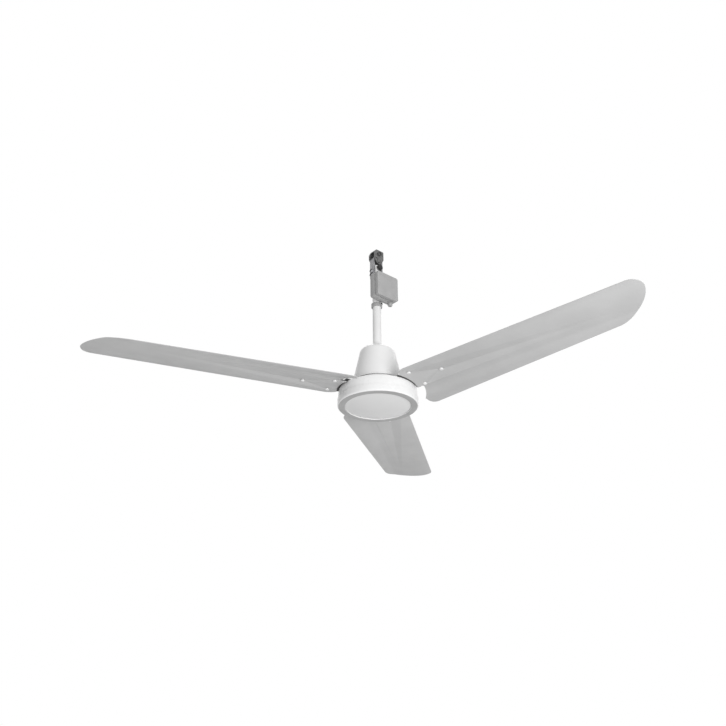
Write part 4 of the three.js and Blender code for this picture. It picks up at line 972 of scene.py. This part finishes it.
iron_screw = mesh_of(
    pan_screw(IRON_SCREW_SHANK, *IRON_SCREW_HEAD, IRON_SCREW_LENGTH, IRON_SCREW_CROSS),
    "iron_screw_master",
)
for i in range(IRON_SCREW_COUNT):
    low, high = box_mm(f"iron_screw_{i + 1}")
    middle = (low + high) / 2
    place = at(middle.x, middle.y, high.z - IRON_SCREW_HEAD[1])
    finished(
        copy_of(iron_screw, place), f"iron_pan_screw_{i + 1}", "rotor", "zinc_steel",
        [f"iron_screw_{i + 1}"],
    )
for node in BOX_SCREWS:
    low, high = box_mm(node)
    middle = (low + high) / 2
    length = high.y - low.y - SMALL_HEAD_HEIGHT
    screw = pan_screw(SMALL_SHANK, SMALL_HEAD_RADIUS, SMALL_HEAD_HEIGHT, length, SMALL_CROSS)
    place = at(middle.x, high.y - SMALL_HEAD_HEIGHT, middle.z) @ ALONG_Y
    finished(moved(screw, place), f"{node}_pan", "hanger", "zinc_steel", [node])

# %% Hexagon bolts and nuts
SAFETY_FLANGE = (8.2, 1.8)
M6 = {"shank": 3, "flats": 10, "head": 4, "pitch": 1.0}
M8 = {"shank": 4, "flats": 13, "head": 5.3, "pitch": 1.25}
HEX_CHAMFER = 0.8
HEX_CHAMFER_DROP = HEX_CHAMFER * 0.7
BOLT_THREAD_DEPTH = 0.45
THREAD_PAST_NUT = 7
HEX_SMOOTH_BELOW = 30


def hexagon(flats, low, high, chamfer_low, chamfer_high):
    """A six-sided block whose corners are turned off by cones at the ends that ask for it."""
    corner = flats / math.sqrt(3)
    block = cylinder(corner, low, high, segments=6)
    turning = spun([
        [0, low],
        [corner - HEX_CHAMFER if chamfer_low else corner + 1, low],
        [corner + 0.2, low + HEX_CHAMFER_DROP if chamfer_low else low],
        [corner + 0.2, high - HEX_CHAMFER_DROP if chamfer_high else high],
        [corner - HEX_CHAMFER if chamfer_high else corner + 1, high],
        [0, high],
    ], 48)
    return carved(block, turning, "INTERSECT")


def hex_bolt(size, length, threaded):
    """A bolt along Z: head below z = 0, shank up to z = length, its last stretch threaded."""
    shank = spun([
        [0, -1],
        [size["shank"], -1],
        *thread(
            size["shank"], length - threaded, length - THREAD_RUN_OUT, size["pitch"],
            BOLT_THREAD_DEPTH,
        ),
        [size["shank"] - 0.8, length],
        [0, length],
    ], 28)
    return carved(hexagon(size["flats"], -size["head"], 0, True, False), shank, "UNION")


def hex_nut(size, flange=None):
    """A nut along Z from z = 0, bored for its shank, with a round flange under it if asked."""
    start = flange[1] if flange else 0
    nut = hexagon(size["flats"], start, start + size["head"], not flange, True)
    if flange:
        radius, thickness = flange
        skirt = spun([
            [0, 0],
            [radius, 0, 0.3],
            [radius, thickness * 0.5, 0.3],
            [size["flats"] / 2, start + 0.4],
            [0, start + 0.4],
        ], 40)
        nut = carved(nut, skirt, "UNION")
    bore = cylinder(size["shank"] + CLEARANCE, -1, start + size["head"] + 1, 28)
    return carved(nut, bore)


def lay_down(shape, node, inset, axis, from_low, body, slot):
    """Lays a bolt or nut along X or Y on its part's place, with its origin inset from one end."""
    low, high = box_mm(node)
    index, turn = {"X": (0, ALONG_X), "Y": (1, ALONG_Y)}[axis]
    spot = (low + high) / 2
    spot[index] = low[index] + inset if from_low else high[index] - inset
    if not from_low:
        turn = turned(math.pi) @ turn
    moved(shape, at(*spot) @ turn)
    finished(shape, f"{node}_hexagon", body, slot, [node], HEX_SMOOTH_BELOW)


def place_bolt(node, size, axis, head_at_low, body, slot):
    """A bolt as long as its part, threaded over its last stretch."""
    low, high = box_mm(node)
    index = "XY".index(axis)
    length = high[index] - low[index] - size["head"]
    bolt = hex_bolt(size, length, threaded=min(length, size["head"] + THREAD_PAST_NUT))
    lay_down(bolt, node, size["head"], axis, head_at_low, body, slot)


def place_nut(node, size, axis, seat_at_low, body, slot, flange=None):
    """A nut with its seat at one end of its part."""
    lay_down(hex_nut(size, flange), node, 0, axis, seat_at_low, body, slot)


place_bolt("bracket_tie_bolt", M6, "Y", True, "root", "dark_steel")
place_nut("bracket_tie_nut", M6, "Y", True, "root", "dark_steel")
for node in ("strap_bolt_upper", "strap_bolt_lower", "coupler_bolt"):
    place_bolt(node, M6, "X", True, "hanger", "zinc_steel")
for node in ("strap_nut_upper", "strap_nut_lower", "coupler_nut"):
    place_nut(node, M6, "X", True, "hanger", "zinc_steel")
place_bolt("safety_bolt", M8, "Y", False, "hanger", "black_steel")
place_nut("safety_nut", M8, "Y", False, "hanger", "black_steel", SAFETY_FLANGE)

# %% [markdown]
# ## The down-rod and the hanger
#
# The rod is half-inch pipe, painted, with a turned-off edge at each end. The strap that carries
# it is a flat bar bent into a hairpin over a rubber sleeve. A bent bar is made the way it is
# bent: a small rectangle is pushed up one leg, swung half a turn round the pivot, and pushed down
# the other leg.

# %% The rod, cross-drilled
ROD_WALL = 2.65
ROD_EDGE = 0.6
DRILL_PAST = 2
STRAP_BOLTS = ("strap_bolt_upper", "strap_bolt_lower")

rod_radius = rod_high.x
rod = spun([
    [rod_radius, rod_low.z, ROD_EDGE],
    [rod_radius, rod_high.z, ROD_EDGE],
    [rod_radius - ROD_WALL, rod_high.z, ROD_EDGE],
    [rod_radius - ROD_WALL, rod_low.z, ROD_EDGE],
], 72, arc_segments=3)


def cross_drill(shank, node, turn, reach):
    """A drill across the hanger on the axis of one of its bolts, reaching out to both sides."""
    tool = cylinder(shank + CLEARANCE, -reach, reach, 28)
    return moved(tool, at(0, 0, middle_of(node).z) @ turn)


for node in (*STRAP_BOLTS, "coupler_bolt"):
    rod = carved(rod, cross_drill(M6["shank"], node, ALONG_X, rod_radius + DRILL_PAST))
rod = carved(rod, cross_drill(M8["shank"], "safety_bolt", ALONG_Y, rod_radius + DRILL_PAST))
finished(rod, "painted_down_rod", "hanger", "rod_enamel", ["down_rod"])

# %% Bend the strap
STRAP_THICKNESS = 4
PIVOT_DEPTH = 32
STRAP_BEND_STEPS = 28

strap_low, strap_high = box_mm("hanger_strap")
strap = bmesh.new()
bmesh.ops.create_grid(strap, x_segments=1, y_segments=1, size=0.5)
bar_section = Matrix.Diagonal((STRAP_THICKNESS, strap_high.y - strap_low.y, 1, 1))
moved(strap, at(strap_low.x + STRAP_THICKNESS / 2, 0, strap_low.z) @ bar_section)
leg_length = -PIVOT_DEPTH - strap_low.z
leg_end = grown(strap, list(strap.faces), (0, 0, leg_length))
swung = bmesh.ops.spin(
    strap, geom=leg_end, cent=(0, 0, -PIVOT_DEPTH), axis=(0, 1, 0), dvec=(0, 0, 0), angle=math.pi,
    steps=STRAP_BEND_STEPS, use_merge=False, use_duplicate=False,
)["geom_last"]
grown(strap, [g for g in swung if isinstance(g, bmesh.types.BMFace)], (0, 0, -leg_length))
inner_caps = [f for f in strap.faces if all(len(e.link_faces) > 2 for e in f.edges)]
bmesh.ops.delete(strap, geom=inner_caps, context="FACES_ONLY")
bmesh.ops.remove_doubles(strap, verts=strap.verts, dist=SAME_POINT)
for node in STRAP_BOLTS:
    strap = carved(strap, cross_drill(M6["shank"], node, ALONG_X, strap_high.x + DRILL_PAST))
strap = soften(strap, 0.5, least_angle=60)
finished(
    strap, "bent_hanger_strap", "hanger", "zinc_steel", ["hanger_strap"], finish=STRAP_FINISH
)

# %% The pivot: headed pin and rubber sleeve
PIN_RADIUS = 4
PIN_HEAD_THICKNESS = 1.6

pin_low, pin_high = box_mm("pivot_pin")
pin_head = (pin_high.x - pin_low.x) / 2
pin_shoulder = pin_high.y - PIN_HEAD_THICKNESS
half_pin = [
    [PIN_RADIUS, pin_shoulder], [pin_head, pin_shoulder, 0.2], [pin_head, pin_high.y, 0.8],
    [0, pin_high.y],
]
other_half = [[radius, -height, *rounding] for radius, height, *rounding in half_pin[::-1]]
pin = spun([*other_half, *half_pin], 48)
at_pivot = at(0, 0, -PIVOT_DEPTH) @ ALONG_Y
finished(moved(pin, at_pivot), "headed_pivot_pin", "root", "dark_steel", ["pivot_pin"])

sleeve_low, sleeve_high = box_mm("pivot_sleeve")
sleeve_radius = sleeve_high.x
sleeve = spun([
    [PIN_RADIUS + CLEARANCE, sleeve_low.y, 0.4],
    [sleeve_radius, sleeve_low.y, 0.8],
    [sleeve_radius, sleeve_high.y, 0.8],
    [PIN_RADIUS + CLEARANCE, sleeve_high.y, 0.4],
], 56)
moved(sleeve, at_pivot)
finished(sleeve, "rubber_pivot_sleeve", "root", "rubber", ["pivot_sleeve"])

# %% [markdown]
# ## The terminal box
#
# The grey box beside the rod holds the capacitor and the terminals. It is two mouldings: a base
# with a stepped rim, and a lid that closes over it with a fine gap all round. Both start as a
# slab with rounded corners. Insetting the open face leaves the wall, and pushing the inner face
# in hollows it.

# %% Slabs with rounded corners
BOX_CORNER = 5
BOX_WALL = 2
BOX_STEP = 1.6
STEP_DEPTH = 3
LID_EDGE = 1.2
LEVEL_WITHIN = 1e-3

base_low, base_high = box_mm("terminal_box_base")
lid_low, lid_high = box_mm("terminal_box_lid")


def rounded_slab(low, high, corner):
    """A block between two corners, with the four edges along Y rounded."""
    bm = cuboid(high - low, (low + high) / 2)
    upright = [e for e in bm.edges if abs(e.verts[0].co.y - e.verts[1].co.y) > 1]
    bevelled(bm, upright, corner, 8)
    return bm


def inset_and_push(bm, y, wall, depth):
    """Insets the large face at y by a wall's width and pushes it along Y by depth."""
    flat = [f for f in bm.faces if abs(f.calc_center_median().y - y) < LEVEL_WITHIN]
    face = max(flat, key=lambda f: f.calc_area())
    bmesh.ops.inset_region(bm, faces=[face], thickness=wall, use_even_offset=True)
    inner = bmesh.ops.extrude_discrete_faces(bm, faces=[face])["faces"][0]
    bmesh.ops.translate(bm, verts=inner.verts, vec=(0, depth, 0))


# %% Base and lid
CABLE_HOLE = 5.3

rim_y = base_low.y + STEP_DEPTH
base = rounded_slab(Vector((base_low.x, rim_y, base_low.z)), base_high.copy(), BOX_CORNER)
inset_and_push(base, rim_y, BOX_STEP, -STEP_DEPTH)
inset_and_push(base, base_low.y, BOX_WALL, base_high.y - base_low.y - BOX_WALL)
cable_way = at(*middle_of("cable_grommet").xy, 0)
hole = cylinder(CABLE_HOLE, base_low.z - 2, base_low.z + 6, 28)
base = carved(base, moved(hole, cable_way))
for node in BOX_SCREWS:
    middle = middle_of(node)
    drill = cylinder(SMALL_SHANK + CLEARANCE, base_high.y - 6, base_high.y + 2, 24)
    base = carved(base, moved(drill, at(middle.x, 0, middle.z) @ ALONG_Y))
base = soften(base, 0.4, least_angle=60)
finished(
    base, "box_base_moulding", "hanger", "box_plastic", ["terminal_box_base"], smooth_below=30
)

lid = rounded_slab(lid_low, lid_high, BOX_CORNER)
face_rim = [e for e in lid.edges if all(abs(v.co.y - lid_low.y) < LEVEL_WITHIN for v in e.verts)]
bevelled(lid, face_rim, LID_EDGE, 5)
inset_and_push(lid, lid_high.y, BOX_WALL, lid_low.y + BOX_WALL - lid_high.y)
lid = soften(lid, 0.3, least_angle=60)
finished(lid, "box_lid_moulding", "hanger", "box_plastic", ["terminal_box_lid"], smooth_below=30)

# %% [markdown]
# ## Plates and small turned parts
#
# The bracket, the saddle, the collar and the blade irons are already the right shape in the
# frame, but their edges are knife-sharp there. Each gets a copy whose loose triangles are merged
# back into flat faces, and whose edges are then taken off with a narrow bevel, as a tumbled or
# filed part has.

# %% Dress a copy of a part of the frame
def dressed(node, body, slot, edge, smooth_below=40, trim=None, finish=None):
    """A copy of a frame part with merged faces and softened edges, which stands for it."""
    bm = copy_of(frame["nodes"][node].data, Matrix.Scale(1 / MM, 4))
    bmesh.ops.remove_doubles(bm, verts=bm.verts, dist=0.01)
    bmesh.ops.dissolve_limit(bm, angle_limit=math.radians(1), verts=bm.verts, edges=bm.edges)
    if trim:
        bm = trim(bm)
    soften(bm, edge, least_angle=44)
    finished(bm, f"{node}_dressed", body, slot, [node], smooth_below, finish)


dressed("ceiling_bracket", "root", "dark_steel", 0.5)
dressed("box_saddle", "hanger", "zinc_steel", 0.3)
dressed("box_collar", "hanger", "zinc_steel", 0.4, finish=COLLAR_FINISH)
dressed("collar_screw", "hanger", "black_steel", 0.15)
dressed("canopy_grip_ring", "canopy", "rubber", 0.5)

# %% [markdown]
# ## The irons' trimmed lips, and the cable gland
#
# Each iron's foot lies on the drum, and a short lip joins it to the arm above the blade. Seen
# from below only a thin line of it may show, and its black is painted shade: it stands for the
# shaded gap between the drum's rim and the blade. So the lip is cut level with the foot where the
# sheet lies higher, and along the arm's underside where it lies lower. The corner above the
# blade's rounded root goes too. The gland under the box is a turned nut on the grommet's place.

# %% Trim and dress the irons, with sizes in each blade's own plan
LIP_REGION = (85, 115)
TOOL_REACH = 60
IRON_CORNER = ((93.3, -37), (112, -48))

foot_underside = rim_top + CLEARANCE


def prism(corners, low, high):
    """A tool with a flat outline in the blade's cross-section, running out along its axis."""
    bm = bmesh.new()
    bm.faces.new([bm.verts.new((low, y, z)) for y, z in corners])
    grown(bm, list(bm.faces), (high - low, 0, 0))
    return bm


def arm_underside(across):
    """Height of an iron's arm above the drum's rim, where it lies on the blade."""
    return sheet_height(TAB_RADIUS, across) + SHEET + CLEARANCE


def trimmed_iron(angle):
    """The trim for one iron, made in the blade's own plan and turned back to its place."""
    level_until = (foot_underside - arm_underside(0)) / PITCH
    below = foot_underside - TOOL_REACH
    lip_tool = [
        (-TOOL_REACH, below),
        (TOOL_REACH, below),
        (TOOL_REACH, arm_underside(0) + PITCH * TOOL_REACH),
        (level_until, foot_underside),
        (-TOOL_REACH, foot_underside),
    ]
    (x0, y0), (x1, y1) = IRON_CORNER
    along_cut = math.atan2(y1 - y0, x1 - x0)

    def trim(bm):
        moved(bm, turned(-angle))
        bm = carved(bm, prism(lip_tool, *LIP_REGION))
        block = cuboid((TOOL_REACH,) * 3, (0, -TOOL_REACH / 2, foot_underside))
        bm = carved(bm, moved(block, at(x0, y0, 0) @ turned(along_cut)))
        return moved(bm, turned(angle))

    return trim


for i, angle in enumerate(BLADE_ANGLES):
    # Painted shade: the irons take black so that the thin line of them under each blade reads as
    # the shaded gap.
    dressed(f"blade_iron_{i + 1}", "rotor", "black_steel", 0.35, trim=trimmed_iron(angle))

# %% Turn the cable gland
GLAND_HEIGHT = 9
GLAND_NUT_RADIUS = 6.2
GLAND_MOUTH_RADIUS = 4.6
GLAND_BORE = 3

gland_seat = base_low.z - CLEARANCE
gland_top = box_mm("cable_grommet")[1].z
gland = spun([
    [GLAND_BORE, gland_seat - GLAND_HEIGHT, 0.5],
    [GLAND_MOUTH_RADIUS, gland_seat - GLAND_HEIGHT, 0.8],
    [GLAND_NUT_RADIUS, gland_seat - GLAND_HEIGHT * 0.7, 0.8],
    [GLAND_NUT_RADIUS, gland_seat, 0.4],
    [CABLE_HOLE - CLEARANCE, gland_seat],
    [CABLE_HOLE - CLEARANCE, gland_top, 0.4],
    [GLAND_BORE, gland_top, 0.4],
], 48)
moved(gland, cable_way)
finished(gland, "cable_gland", "hanger", "box_plastic", ["cable_grommet"])

# %% [markdown]
# ## Finishes for the parts that keep the frame's own shape
#
# What is left of the frame is inside the drum and the box: shaft, bearings, stator, windings,
# rotor ring, capacitor and terminals. Their shapes are right, so they only take the finish of
# their slot.

# %% Give every remaining part its finish
slot_of = {part["node"]: part["material_slot"] for part in frame["record"]["subparts"]}
for node, part in frame["nodes"].items():
    part.data.materials.clear()
    part.data.materials.append(FINISHES[slot_of[node]])
shown = [node for node, part in frame["nodes"].items() if not part.hide_render]
print(len(shown), "parts keep their own shape:", ", ".join(sorted(shown)))

# %% [markdown]
# ## Finish
#
# The dressed fan must fill the same box as the frame.

# %% Finish
import json
